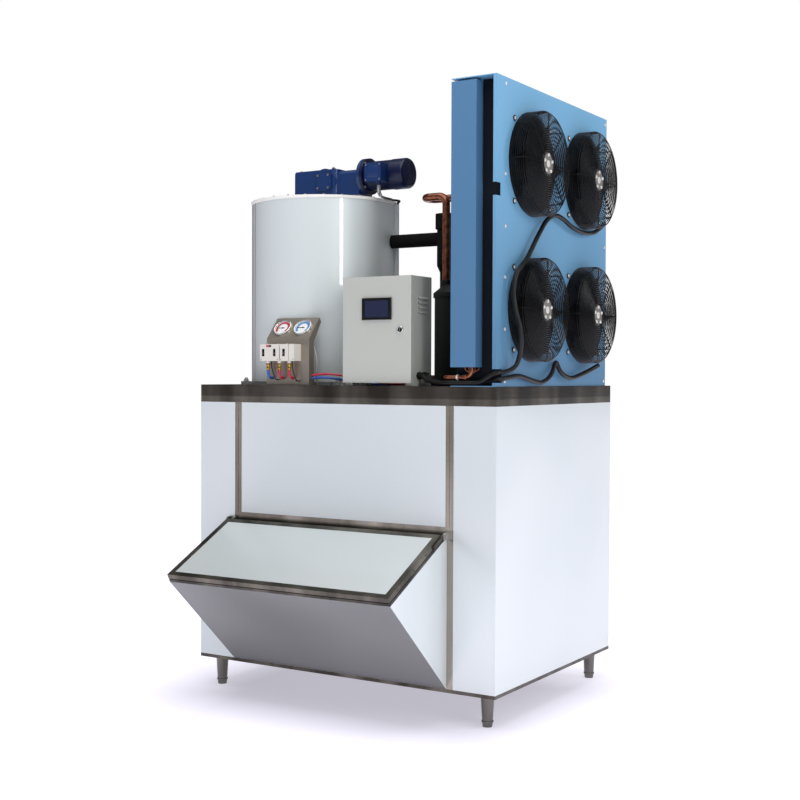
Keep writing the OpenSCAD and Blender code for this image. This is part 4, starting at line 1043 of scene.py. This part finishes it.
@dataclass
class FanGuards:
    """Wire guards, mouths and fixings of the four fans, which face +X."""

    face_x: float = 1216.0
    centres: list[tuple[float, float]] = field(
        default_factory=lambda: [(257.5, 1844.0), (681.5, 1844.0), (257.5, 1360.0), (681.5, 1360.0)]
    )
    guard_r: float = 172.0
    depth: float = 62.0
    wire: float = 1.45
    frame_wire: float = 2.0
    front_rings: int = 17
    ring_inset: float = 8.0
    ring_drop: float = 1.5
    shoulder: float = 4.0
    side_rings: int = 8
    side_low: float = 2.0
    side_top: float = 10.0
    spokes: int = 8
    spoke_drop: float = 3.5
    hub_r: float = 36.0
    hub_wire: float = 2.5
    foot_r: float = 190.0
    foot_loop_r: float = 8.0
    hole_r: float = 155.0
    mouth_r: float = 167.0
    mouth_t: float = 1.4
    bell_l: float = 22.0
    hub_bolts: int = 5
    hub_bolt_r: float = 29.0
    hub_face: float = 58.0
    axis: tuple[float, float, float] = (1.0, 0.0, 0.0)

    def _spoke(self, way: Vector, centre: Vector) -> list[Vector]:
        """The line of one spoke, from the hub over the shoulder down to the panel.

        Args:
            way: direction of the spoke.
            centre: where the fan's axis meets the panel.

        Returns:
            Points of the spoke.
        """
        profile = [
            (self.hub_r, self.depth - self.spoke_drop),
            (self.guard_r - 12, self.depth - self.spoke_drop),
            (self.guard_r - 5, self.depth - 5),
            (self.guard_r - 2, self.depth - 10),
            (self.guard_r - 1.5, 2.0),
        ]
        return [centre + (way * r + Vector(self.axis) * z) * MM for r, z in profile]

    def _guard(self, number: int, centre: Vector) -> None:
        """One wire guard with its feet.

        Args:
            number: the fan's number.
            centre: where the fan's axis meets the panel.
        """
        shape = Shape()
        out = Vector(self.axis)

        def ring(level: float, radius: float, wire: float) -> None:
            """Adds one ring at a level over the panel."""
            shape.hoop(centre + out * level * MM, self.axis, radius * MM, wire * MM, 72, 6)

        first = self.hub_r + self.ring_inset
        step = (self.guard_r - self.ring_inset - first) / (self.front_rings - 1)
        for i in range(self.front_rings):
            ring(self.depth - self.ring_drop, first + i * step, self.wire)
        ring(self.depth - self.shoulder, self.guard_r - self.shoulder, self.wire)
        rise = (self.depth - self.side_top - self.side_low) / (self.side_rings - 1)
        for i in range(self.side_rings):
            ring(self.side_low + i * rise, self.guard_r, self.wire if i else self.frame_wire)
        for way in rays(self.spokes, 0):
            shape.tube(self._spoke(way, centre), self.frame_wire * MM, 8)
        hub = centre + out * (self.depth - self.spoke_drop) * MM
        shape.hoop(hub, self.axis, self.hub_r * MM, self.hub_wire * MM, 48, 8)
        for way in rays(4, 45):
            foot = centre + (way * self.foot_r + out * self.frame_wire) * MM
            shape.hoop(foot, self.axis, self.foot_loop_r * MM, self.frame_wire * MM, 24, 8)
        shape.piece(f"fan_guard_{number}", Palette.WIRE, "black_paint", BASE, ["fan_guards"])

    def _mouth(self, number: int, centre: Vector) -> None:
        """The black inlet ring of one fan: a liner in the hole and a flange on the panel.

        Args:
            number: the fan's number.
            centre: where the fan's axis meets the panel.
        """
        out = Vector(self.axis)
        inner = (self.hole_r - self.mouth_t) * MM
        outer = (self.hole_r - 0.3) * MM
        bell = self.bell_l * MM
        shape = Shape().band(centre - out * bell, self.axis, inner, outer, bell)
        flange = centre + out * 0.2 * MM
        shape.band(flange, self.axis, inner, self.mouth_r * MM, self.mouth_t * MM)
        shape.piece(f"fan_mouth_{number}", Palette.BLACK, "black_paint")

    def _fixings(self, number: int, centre: Vector) -> None:
        """Bolts of the hub plate and screws of the guard's feet.

        Args:
            number: the fan's number.
            centre: where the fan's axis meets the panel.
        """
        shape = Shape()
        out = Vector(self.axis)
        for way in rays(self.hub_bolts, 90):
            spot = centre + (way * self.hub_bolt_r + out * self.hub_face) * MM
            shape.rod(spot, out, 6 * MM, 4.5 * MM, 6, 0.8 * MM)
        for way in rays(4, 45):
            shape.rod(centre + way * self.foot_r * MM, out, 5.8 * MM, 5 * MM, 20, 1.2 * MM)
        shape.rod(centre + out * (self.hub_face + 0.5) * MM, out, 12 * MM, 2 * MM, 32, 0.8 * MM)
        shape.piece(f"fan_fixings_{number}", Palette.BRIGHT, "dull_steel")

    def build(self) -> None:
        """Dresses the four fans."""
        for number, (y, z) in enumerate(self.centres, 1):
            centre = at(self.face_x, y, z)
            self._guard(number, centre)
            self._mouth(number, centre)
            self._fixings(number, centre)


@dataclass
class GaugePanel:
    """Dials, switch details, short hoses and stay of the gauge panel."""

    x0: float = 272.0
    face_y: float = 40.0
    slant_foot: float = 1270.0
    slant: float = 50.0
    width: float = 186.0
    length: float = 98.0
    pitch: float = 88.0
    bezel_t: float = 6.0
    bezel_r: float = 33.0
    bezel_wire: float = 2.4
    dial_depth: float = 3.5
    dial_r: float = 30.8
    print_t: float = 0.12
    scale_in: float = 20.0
    scale_out: float = 28.5
    sweep: tuple[float, float] = (-45.0, 225.0)
    marks: int = 19
    mark_half: float = 0.9
    switch_z: float = 1190.0
    windows: tuple[float, ...] = (10.0, 59.0, 100.0)
    switch_screws: tuple[float, ...] = (6.0, 78.0, 92.0, 146.0)
    hose_y: float = 20.0
    hose_z: float = 1182.0
    hose_r: float = 4.6
    lead_r: float = 2.2
    stay_r: float = 2.0

    def _on_slant(self, x: float, u: float, n: float) -> Vector:
        """A point from its place on the sloping face.

        Args:
            x: distance from the panel's left side.
            u: distance up the slope.
            n: height over it.

        Returns:
            The point in metres.
        """
        a = math.radians(self.slant)
        y = self.face_y + u * math.cos(a) - n * math.sin(a)
        z = self.slant_foot + u * math.sin(a) + n * math.cos(a)
        return at(self.x0 + x, y, z)

    def _axes(self) -> tuple[Vector, Vector, Vector]:
        """Directions right, up and out of the sloping face.

        Returns:
            The three unit vectors.
        """
        a = math.radians(self.slant)
        return (
            Vector((1, 0, 0)),
            Vector((0, math.cos(a), math.sin(a))),
            Vector((0, -math.sin(a), math.cos(a))),
        )

    def _arc(
        self,
        shape: Shape,
        x: float,
        radii: tuple[float, float],
        turns: tuple[float, float],
        lift: float,
    ) -> None:
        """Adds a flat arc to a dial.

        Args:
            shape: the mesh that gets it.
            x: the dial's place along the panel.
            radii: inner and outer radius.
            turns: first and last angle, from the left over the top, in degrees.
            lift: height over the sloping face.
        """
        right, up, out = self._axes()
        centre = self._on_slant(x, self.length / 2, lift)
        inner, outer = radii
        first, last = turns
        steps = 24
        rim = []
        for radius, order in ((outer, range(steps + 1)), (inner, range(steps, -1, -1))):
            for k in order:
                a = math.radians(first + (last - first) * k / steps)
                rim.append(centre + (-right * math.cos(a) + up * math.sin(a)) * radius * MM)
        shape.plate(rim, out * 0.15 * MM)

    def _dial(self, name: str, x: float, scale: Finish) -> None:
        """One dial with a coloured scale, marks and a bright bezel.

        Args:
            name: start of the pieces' names.
            x: the dial's place along the panel.
            scale: finish of the coloured scale.
        """
        out = self._axes()[2]
        middle = self.length / 2
        floor = self.bezel_t - self.dial_depth
        top = floor + self.print_t
        spot = self._on_slant(x, middle, floor)
        face = Shape().rod(spot, out, self.dial_r * MM, self.print_t * MM, 64)
        face.piece(f"{name}_dial", Palette.DIAL, "bezel_chrome")
        band = Shape()
        self._arc(band, x, (self.scale_in, self.scale_out), self.sweep, top)
        band.piece(f"{name}_scale", scale, "bezel_chrome")
        marks = Shape()
        first, last = self.sweep
        for k in range(self.marks):
            a = first + (last - first) * k / (self.marks - 1)
            inner = 17 if k % 3 else 14.5
            turns = (a - self.mark_half, a + self.mark_half)
            self._arc(marks, x, (inner, self.scale_in), turns, top)
        marks.piece(f"{name}_marks", Palette.BLACK, "bezel_chrome")
        rim = self._on_slant(x, middle, self.bezel_t - 0.6)
        ring = Shape().hoop(rim, out, self.bezel_r * MM, self.bezel_wire * MM, 64, 12)
        ring.piece(f"{name}_bezel", Palette.CHROME, "bezel_chrome")

    def _on_switch(self, x: float, y: float, z: float) -> Vector:
        """A point from the panel's left side, the switches' front and their lower edge."""
        return at(self.x0 + x, y, self.switch_z + z)

    def _switches(self) -> None:
        """Windows, scales, screws, buttons and cover seam of the two pressure switches."""
        on = self._on_switch
        dark, scale, screws = Shape(), Shape(), Shape()
        for x in self.windows:
            dark.block(on(x - 1, -0.3, 17), on(x + 10, 0.3, 43))
            for k in range(5):
                z = 21 + 4.5 * k
                scale.block(on(x + 1, -0.45, z), on(x + 2.6, -0.3, z + 0.6))
            scale.block(on(x + 5.2, -0.45, 27), on(x + 7.4, -0.3, 27.9))
            screws.rod(on(x + 4.5, 20, 60), (0, 0, 1), 4.5 * MM, 3 * MM, 20, 0.6 * MM)
        for x in self.switch_screws:
            screws.rod(on(x, -1.0, 6), (0, 1, 0), 2.2 * MM, 1.1 * MM, 16, 0.3 * MM)
        dark.piece("switch_windows", Palette.SMOKE, "dark_plastic")
        scale.piece("switch_scales", Palette.DIAL, "pale_plastic")
        screws.piece("switch_screws", Palette.STEEL, "dull_steel")
        button = Shape().block(on(28, -1.6, 50), on(40, 0, 56), 0.6 * MM)
        button.piece("reset_button_red", Palette.RED, "pale_plastic")
        key = Shape().block(on(40.5, -1.6, 50), on(50, 0, 56), 0.6 * MM)
        key.piece("reset_button_black", Palette.BLACK, "dark_plastic")
        seam = Shape().block(on(126, -0.25, 1), on(127, 0.0, 59))
        seam.piece("switch_cover_seam", Palette.SMOKE, "dark_plastic")

    def _under(self, x: float, points: Sequence[tuple[float, float, float]]) -> list[Vector]:
        """A smooth line from a place along the panel, with heights off the fittings' top."""
        return smooth([at(self.x0 + x + a, b, self.hose_z + c) for a, b, c in points], 6)

    def _hoses(self) -> None:
        """Brass ends with the short coloured hoses, and the dark leads of the switches."""
        fitting = Shape()
        turned = ((7.2, 9, 6, 0.5), (5.2, 4, 24, 0.0), (6.6, 9, 6, 0.5), (4.6, 5, 24, 0.0))
        bend = [
            (0, 20, -22), (0, 19, -32), (2, 20, -42), (4, 25, -49), (4, 33, -52), (4, 39.5, -52),
        ]
        left = [(0, 20, 8), (3, 18, -14), (12, 17, -38), (16, 24, -56), (17, 39.5, -58)]
        right = [(0, 20, 8), (2, 19, -16), (10, 18, -42), (17, 22, -60), (19, 39.5, -62)]
        for name, x, finish, replaced in (
            ("blue", 22.0, Palette.HOSE_BLUE, ["hoses"]),
            ("red_left", 72.0, Palette.HOSE_RED, []),
            ("red_right", 116.0, Palette.HOSE_RED, []),
        ):
            level = self.hose_z
            for radius, height, sides, bevel in turned:
                top = at(self.x0 + x, self.hose_y, level)
                fitting.rod(top, (0, 0, -1), radius * MM, height * MM, sides, bevel * MM)
                level -= height
            hose = Shape().tube(self._under(x, bend), self.hose_r * MM, 14)
            hose.piece(f"{name}_gauge_hose", finish, "red_hose", BASE, replaced)
        fitting.piece("hose_fittings", Palette.BRASS, "copper")
        for name, x, ends in (("left", 36.0, left), ("right", 128.0, right)):
            lead = Shape().tube(self._under(x, ends), self.lead_r * MM, 10)
            lead.piece(f"switch_lead_{name}", Palette.HOSE_BLACK, "dark_plastic")

    def _stay(self) -> None:
        """The thin stay from the panel's side to the deck."""
        path = [at(459, 70, 1240), at(466, 76, 1200), at(462, 82, 1150), at(460, 88, 1105)]
        stay = Shape().tube(smooth(path, 6), self.stay_r * MM, 10)
        stay.piece("panel_stay", Palette.STEEL, "dull_steel")

    def build(self) -> None:
        """Dresses the gauge panel."""
        self._dial("high", self.width / 2 - self.pitch / 2, Palette.RED)
        self._dial("low", self.width / 2 + self.pitch / 2, Palette.BLUE)
        self._switches()
        self._hoses()
        self._stay()


@dataclass
class Drum:
    """Bolts, seams and sleeve of the freezing drum and its gearmotor."""

    x: float = 280.0
    y: float = 388.0
    radius: float = 275.0
    top: float = 1790.0
    base: float = 1105.0
    cover_bolts: int = 24
    cover_bolt_in: float = 16.0
    lug_out: float = 23.0
    lug_t: float = 12.0
    seam_turns: tuple[float, ...] = (236.0, 228.0)
    seam_l: float = 662.0
    gear_h: float = 120.0
    gear_cover_x: float = 40.0
    gear_cover_y: float = -72.0
    gear_cover_z: float = 74.0
    gear_bolt_half: float = 23.5
    motor_z: float = 1879.0
    flange_x: float = 209.0
    flange_bolt_r: float = 60.5
    ribs: int = 20
    rib_r: float = 53.0
    rib_l: float = 100.0
    rib_lowest: float = -0.66
    terminal_x: float = 241.0
    terminal_y: float = -94.0
    sleeve_r: float = 6.5

    def _around(self, radius: float, turn: float, z: float) -> Vector:
        """A point at a radius and an angle round the drum's axis."""
        a = math.radians(turn)
        return at(self.x + radius * math.cos(a), self.y + radius * math.sin(a), z)

    def _from_top(self, x: float, y: float, z: float) -> Vector:
        """A point from the middle of the drum's top."""
        return at(self.x + x, self.y + y, self.top + z)

    def _by_motor(self, x: float, y: float, z: float) -> Vector:
        """A point from where the motor's axis crosses the drum's."""
        return at(self.x + x, self.y + y, self.motor_z + z)

    def _bolts(self) -> None:
        """Bolts on the cover's rim and on the lugs of the base ring."""
        up = (0, 0, 1)
        shape = Shape()
        for k in range(self.cover_bolts):
            turn = 360 / self.cover_bolts * k + 4
            spot = self._around(self.radius - self.cover_bolt_in, turn, self.top)
            shape.rod(spot, up, 5.5 * MM, 1.2 * MM, 20)
            shape.rod(spot, up, 4.2 * MM, 5.5 * MM, 6, 0.5 * MM)
        for k in range(4):
            spot = self._around(self.radius + self.lug_out, 45 + 90 * k, self.base + self.lug_t)
            shape.rod(spot, up, 12 * MM, 2 * MM, 28)
            shape.rod(spot, up, 9 * MM, 9 * MM, 6, 0.8 * MM)
            shape.rod(spot, up, 5.5 * MM, 14 * MM, 20)
        shape.piece("drum_bolts", Palette.STEEL, "dull_steel")

    def _seams(self) -> None:
        """The folded seams of the jacket sheet and the seal under the cover."""
        up = (0, 0, 1)
        shape = Shape()
        for turn in self.seam_turns:
            foot = self._around(self.radius + 0.2, turn, self.base + self.lug_t + 1)
            shape.rod(foot, up, 1.6 * MM, self.seam_l * MM, 10)
        shape.piece("jacket_seams", Palette.STEEL, "stainless_panel")
        seal = Shape()
        for drop, past in ((9.5, 0.6), (2.0, 1.4)):
            spot = self._from_top(0, 0, -drop)
            seal.hoop(spot, up, (self.radius + past) * MM, 2 * MM, 128, 8)
        seal.piece("cover_seal", Palette.RIM, "stainless_panel")

    def _gear_bolts(self) -> None:
        """Bolts and plug of the gear housing, flange bolts and the terminal box's screws."""
        up, front = (0, 0, 1), (0, -1, 0)
        shape = Shape()
        half = self.gear_bolt_half
        for x, z in product((-half, half), repeat=2):
            spot = self._from_top(self.gear_cover_x + x, self.gear_cover_y, self.gear_cover_z + z)
            shape.rod(spot, front, 4.6 * MM, 1.2 * MM, 6)
        for way in rays(4, 45):
            spot = self._by_motor(self.flange_x, 0, 0) + way * self.flange_bolt_r * MM
            shape.rod(spot, (1, 0, 0), 5 * MM, 5 * MM, 6, 0.5 * MM)
        for x, y in product((-74.0, 80.0), (-48.0, 48.0)):
            shape.rod(self._from_top(x, y, self.gear_h), up, 4.5 * MM, 4 * MM, 6, 0.4 * MM)
        plug = self._from_top(self.gear_cover_x, 0, self.gear_h + 14)
        shape.rod(plug, up, 4 * MM, 5 * MM, 16, 0.8 * MM)
        for x, z in product((6.0, 64.0), (-27.0, 27.0)):
            spot = self._by_motor(self.terminal_x + x, self.terminal_y, z)
            shape.rod(spot, front, 2.6 * MM, 1.6 * MM, 16, 0.4 * MM)
        shape.piece("gearmotor_bolts", Palette.STEEL, "dull_steel")

    def _motor_details(self) -> None:
        """The motor's ribs, which leave its underside free, and the terminal box's cover."""
        rib = Shape()
        for way in rays(self.ribs, 180 / self.ribs):
            if way.z < self.rib_lowest:
                continue
            low = self._by_motor(self.flange_x + 3, 0, 0) + way * self.rib_r * MM
            rib.tube([low, low + Vector((self.rib_l * MM, 0, 0))], 1.6 * MM, 8)
        rib.piece("motor_ribs", Palette.MOTOR, "blue_gear_paint")
        plate = Shape().block(
            self._by_motor(self.terminal_x + 11, self.terminal_y - 1.2, -20),
            self._by_motor(self.terminal_x + 59, self.terminal_y, 22),
            0.3 * MM,
        )
        plate.piece("terminal_cover_plate", Palette.GEAR, "blue_gear_paint")

    def _sleeve(self) -> None:
        """The silver flexible sleeve from the terminal box down to the cover."""
        steps = ((291, -74, 41.5), (291, -74, 30), (288, -66, 16), (280, -46, 9))
        path = smooth([self._from_top(*step) for step in steps], 6)
        radius = self.sleeve_r * MM
        shape = Shape().tube(path, radius, 14)
        for before, spot, after in zip(path, path[1:], path[2:]):
            shape.hoop(spot, after - before, radius, 0.8 * MM, 20, 6)
        shape.piece("silver_cable_sleeve", Palette.SILVER, "dull_steel")

    def build(self) -> None:
        """Dresses the drum and its gearmotor."""
        self._bolts()
        self._seams()
        self._gear_bolts()
        self._motor_details()
        self._sleeve()


@dataclass
class ControlBox:
    """Screen, lock, seal, louvres and glands of the control box."""

    x: float = 612.0
    front: float = 25.0
    z: float = 1115.0
    width: float = 274.0
    height: float = 360.0
    screen_x: float = 82.0
    screen_z: float = 213.0
    screen_w: float = 116.0
    screen_h: float = 74.0
    bezel_w: float = 10.0
    bezel_h: float = 8.0
    lock_in: float = 41.0
    lock_z: float = 179.0
    door_t: float = 15.0
    seal_in: float = 3.0
    louvres: int = 4
    louvre_z: float = 235.0
    louvre_pitch: float = 16.0
    louvre_y: float = 72.0
    louvre_l: float = 58.0
    gland_y: tuple[float, ...] = (72.0, 108.0)
    gland_z: float = 25.0

    def _on_front(self, x: float, y: float, z: float) -> Vector:
        """A point from the lower left corner of the door's face."""
        return at(self.x + x, self.front + y, self.z + z)

    def _screen(self) -> None:
        """The screen's bezel and display."""
        x0, x1 = self.screen_x, self.screen_x + self.screen_w
        z0, z1 = self.screen_z, self.screen_z + self.screen_h
        low, high = z0 + self.bezel_h, z1 - self.bezel_h
        bezel = Shape()
        for left, right, bottom, top in (
            (x0, x1, z0, low),
            (x0, x1, high, z1),
            (x0, x0 + self.bezel_w, low, high),
            (x1 - self.bezel_w, x1, low, high),
        ):
            bezel.block(
                self._on_front(left, -7.2, bottom), self._on_front(right, -5.8, top), 0.4 * MM
            )
        bezel.piece("screen_bezel", Palette.BLACK, "screen", "door")
        display = Shape().block(
            self._on_front(x0 + self.bezel_w + 1, -6.4, low + 1),
            self._on_front(x1 - self.bezel_w - 1, -5.9, high - 1),
        )
        display.piece("screen_display", Palette.DISPLAY, "screen", "door")

    def _lock(self) -> None:
        """The lock's collar, core and key slot."""
        spot = self._on_front(self.width - self.lock_in, -5, self.lock_z)
        collar = Shape().hoop(spot, (0, 1, 0), 10 * MM, 2.2 * MM, 40, 10)
        collar.piece("lock_collar", Palette.CHROME, "bezel_chrome", "lock")
        core = Shape().rod(spot + Vector((0, 0.1 * MM, 0)), (0, -1, 0), 8 * MM, 0.8 * MM, 32)
        core.piece("lock_core", Palette.SMOKE, "dark_plastic", "lock")
        slot = Shape().block(
            spot + Vector((-1, -1.2, -5)) * MM, spot + Vector((1, -0.6, 5)) * MM
        )
        slot.piece("lock_slot", Palette.STEEL, "dull_steel", "lock")

    def _seal(self) -> None:
        """The rubber seal round the inside of the door."""
        x0, x1 = self.seal_in, self.width - self.seal_in
        z0, z1 = self.seal_in, self.height - self.seal_in
        seal = Shape()
        for left, right, bottom, top in (
            (x0, x1, z0, z0 + 1),
            (x0, x1, z1 - 1, z1),
            (x0, x0 + 1, z0, z1),
            (x1 - 1, x1, z0, z1),
        ):
            seal.block(
                self._on_front(left, self.door_t - 3, bottom),
                self._on_front(right, self.door_t - 0.6, top),
            )
        seal.piece("door_seal", Palette.RUBBER, "black_rubber", "door")

    def _side(self) -> None:
        """The louvres and the cable glands on the right side."""
        x = self.x + self.width
        hood = Shape()
        section = ((-0.5, 9), (0.6, 9), (4.5, 1), (3.8, 0))
        for k in range(self.louvres):
            z = self.z + self.louvre_z + self.louvre_pitch * k
            outline = [at(x + out, self.louvre_y, z + up) for out, up in section]
            hood.plate(outline, Vector((0, self.louvre_l * MM, 0)))
        hood.piece("box_louvres", Palette.BOX, "grey_box_paint")
        gland = Shape()
        for y in self.gland_y:
            spot = at(x, y, self.z + self.gland_z)
            gland.rod(spot, (1, 0, 0), 13 * MM, 9 * MM, 8, 1 * MM)
            gland.rod(spot + Vector((9 * MM, 0, 0)), (1, 0, 0), 11 * MM, 9 * MM, 24, 1.5 * MM)
        gland.piece("box_cable_glands", Palette.BLACK, "dark_plastic")

    def build(self) -> None:
        """Dresses the control box."""
        self._screen()
        self._lock()
        self._seal()
        self._side()


@dataclass
class Condenser:
    """Screws, sheet of painted shade and capillary pipes of the condenser."""

    face_x: float = 1216.0
    low: float = 1105.0
    high: float = 2100.0
    screw_heights: tuple[float, ...] = (1123.0, 1291.0, 1458.0, 1622.0, 1790.0, 2078.0)
    screw_front: float = 62.0
    screw_back: float = 868.0
    back_only_height: float = 1960.0
    pipe_y: float = 23.5
    pipe_z: float = 1135.0

    def _screws(self) -> None:
        """Screws of the fan panel, in two rows of which the front one has a gap."""
        rows = {self.screw_front: [], self.screw_back: [self.back_only_height]}
        shape = Shape()
        for y, more in rows.items():
            for z in (*self.screw_heights, *more):
                shape.rod(at(self.face_x, y, z), (1, 0, 0), 5.5 * MM, 3 * MM, 20, 1.2 * MM)
        shape.piece("condenser_screws", Palette.BRIGHT, "dull_steel")

    def _recess_shade(self) -> None:
        """A black sheet of painted shade in the recess beside the header cover, and a strip along
        its foot.
        """
        shape = Shape().block(at(1143.5, 45.5, self.low + 4), at(1212.5, 46.8, self.high - 4))
        shape.block(at(1052, 45.5, self.low + 0.3), at(1143.2, 46.8, self.low + 63))
        shape.piece("recess_painted_shade", Palette.SHADE, "black_rubber")

    def _capillaries(self) -> None:
        """The copper capillaries that fan out under the header cover, and the pipe clip."""
        shape = Shape()
        for k, x in enumerate((1098.0, 1108.0, 1128.0, 1138.0)):
            path = [
                at(x, 16 + 6 * k, 1168),
                at(x, 18 + 4 * k, 1160),
                at(1112 + 2 * k, 23, 1148),
                at(1098 + k, 23, 1138),
            ]
            shape.tube(smooth(path, 6), 2.2 * MM, 10)
        along = (1, 0, 0)
        spot = at(1082, self.pipe_y, self.pipe_z)
        shape.rod(spot, along, 9 * MM, 20 * MM, 24, 2 * MM, 11 * MM)
        shape.piece("capillary_pipes", Palette.COPPER, "copper")
        clip = Shape().rod(at(1062, self.pipe_y, self.pipe_z), along, 9 * MM, 6 * MM, 24, 1 * MM)
        clip.piece("pipe_clip", Palette.SWITCH, "pale_plastic")

    def build(self) -> None:
        """Dresses the condenser."""
        self._screws()
        self._recess_shade()
        self._capillaries()


@dataclass
class Bin:
    """Sheet of painted shade on the hopper's front, and screws and caps of its lid."""

    hopper_x: float = 157.0
    hopper_w: float = 884.0
    hopper_low: float = 117.0
    reach: float = 345.0
    rim_z: float = 438.0
    slope: float = 27.0
    lid_l: float = 355.2
    hinge_up: float = 13.5
    hinge_out: float = 16.0
    frame_screws: tuple[float, ...] = (60.0, 165.0, 250.0)
    frame_out: float = 20.5

    def _on_rim(self, x: float, u: float, n: float) -> Vector:
        """A point of the sloping rim: along its width, up the slope and out of it.

        Args:
            x: distance from the hopper's left side.
            u: distance up the slope.
            n: height over it.

        Returns:
            The point in metres.
        """
        a = math.radians(self.slope)
        y = -self.reach + u * math.cos(a) - n * math.sin(a)
        z = self.rim_z + u * math.sin(a) + n * math.cos(a)
        return at(self.hopper_x + x, y, z)

    def _ends(self, past: float) -> list[tuple[int, float]]:
        """For each end of the lid, the way out of it and a place past it along the width."""
        return [(-1, -past), (1, self.hopper_w + past)]

    def _front_sheet(self) -> None:
        """A grey sheet of painted shade on the hopper's sloping front, which looks down, away from
        the light.
        """
        drop = self.rim_z - self.hopper_low
        fall = math.hypot(drop, self.reach)
        out = Vector((0, -drop / fall, -self.reach / fall)) * 0.5 * MM
        left, right = self.hopper_x + 0.5, self.hopper_x + self.hopper_w - 0.5
        low = (-0.5, self.hopper_low + 1)
        high = (-self.reach + 0.6, self.rim_z - 0.6)
        corners = [at(left, *low), at(right, *low), at(right, *high), at(left, *high)]
        Shape().plate(corners, out).piece("hopper_front_shade_sheet", Palette.HOPPER_FRONT_SHADE, "dull_steel")

    def _lid_details(self) -> None:
        """Side screws of the lid frame, pale caps over its arms and nuts on the ears' pins."""
        dark, caps, nuts = Shape(), Shape(), Shape()
        for side, x in self._ends(0):
            for u in self.frame_screws:
                spot = self._on_rim(x, u, self.frame_out)
                dark.rod(spot, (side, 0, 0), 3.4 * MM, 1.2 * MM, 20, 0.4 * MM)
        pin = (self.lid_l + self.hinge_up, self.hinge_out)
        for side, x in self._ends(5):
            caps.rod(self._on_rim(x, *pin), (side, 0, 0), 7 * MM, 0.3 * MM, 32)
        for side, x in self._ends(9.5):
            nuts.rod(self._on_rim(x, *pin), (side, 0, 0), 5.5 * MM, 3 * MM, 6, 0.6 * MM)
        dark.piece("lid_side_screws", Palette.SMOKE, "polished_trim", "lid")
        caps.piece("lid_arm_caps", Palette.SWITCH, "pale_plastic", "lid")
        nuts.piece("ear_nuts", Palette.STEEL, "dull_steel")

    def build(self) -> None:
        """Dresses the bin."""
        self._front_sheet()
        self._lid_details()


NODE_FINISHES: dict[Finish, tuple[str, ...]] = {
    Palette.FILM_STEEL: (
        "left_wall", "right_wall", "back_wall", "front_panel", "lid_panel", "hopper",
    ),
    Palette.DRUM_STEEL: ("drum_jacket",),
    Palette.RIM: ("drum_cover",),
    Palette.TRIM: ("deck", "base_frame", "hopper_rim"),
    Palette.RAIL: ("top_rail", "lid_frame"),
    Palette.POST: ("front_trim",),
    Palette.LEG: ("legs", "leveling_feet"),
    Palette.GREY_STEEL: (
        "bin_floor", "drum_base_ring", "freezing_cylinder", "bearing_bridge", "main_shaft",
        "water_pan", "blade_arms", "ice_blade", "water_tank",
    ),
    Palette.STEEL: ("lid_ears",),
    Palette.CAST_ALUMINIUM: ("fan_motors",),
    Palette.RUBBER: ("lid_gasket",),
    Palette.FOAM: ("suction_line",),
    Palette.GEAR: ("gear_housing", "gear_cover", "terminal_box"),
    Palette.MOTOR: ("motor_body", "motor_cowl"),
    Palette.BOX: ("box_body", "box_door"),
    Palette.BLACK: (
        "switchgear", "high_needle", "low_needle",
        "fan_rotor_1", "fan_rotor_2", "fan_rotor_3", "fan_rotor_4",
    ),
    Palette.SCREEN: ("touch_panel",),
    Palette.CHROME: ("door_lock", "gauges"),
    Palette.BRACKET: ("gauge_bracket",),
    Palette.SWITCH: ("pressure_switches",),
    Palette.COMPRESSOR: ("compressor",),
    Palette.COPPER: ("discharge_line", "liquid_line"),
    Palette.PANEL: ("condenser_casing", "fan_panel"),
    Palette.COVER_SHADED: ("header_cover",),
    Palette.FINS: ("coil",),
    Palette.PIPE_WHITE: ("water_pipe",),
}


def dress_nodes() -> None:
    """Gives every node that stays its finish."""
    for finish, names in NODE_FINISHES.items():
        for name in names:
            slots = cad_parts[name].data.materials
            slots.clear()
            slots.append(finish.material())
        LOG.info("%s on %s", finish.name, ", ".join(names))


def main() -> None:
    """Builds the studio, the finishes and every fine piece."""
    logging.basicConfig(level=logging.INFO, format="%(message)s")
    Studio().build()
    Leads().build()
    dress_nodes()
    for part in (FanGuards(), GaugePanel(), Drum(), ControlBox(), Condenser(), Bin()):
        part.build()


if __name__ == "__main__":
    main()
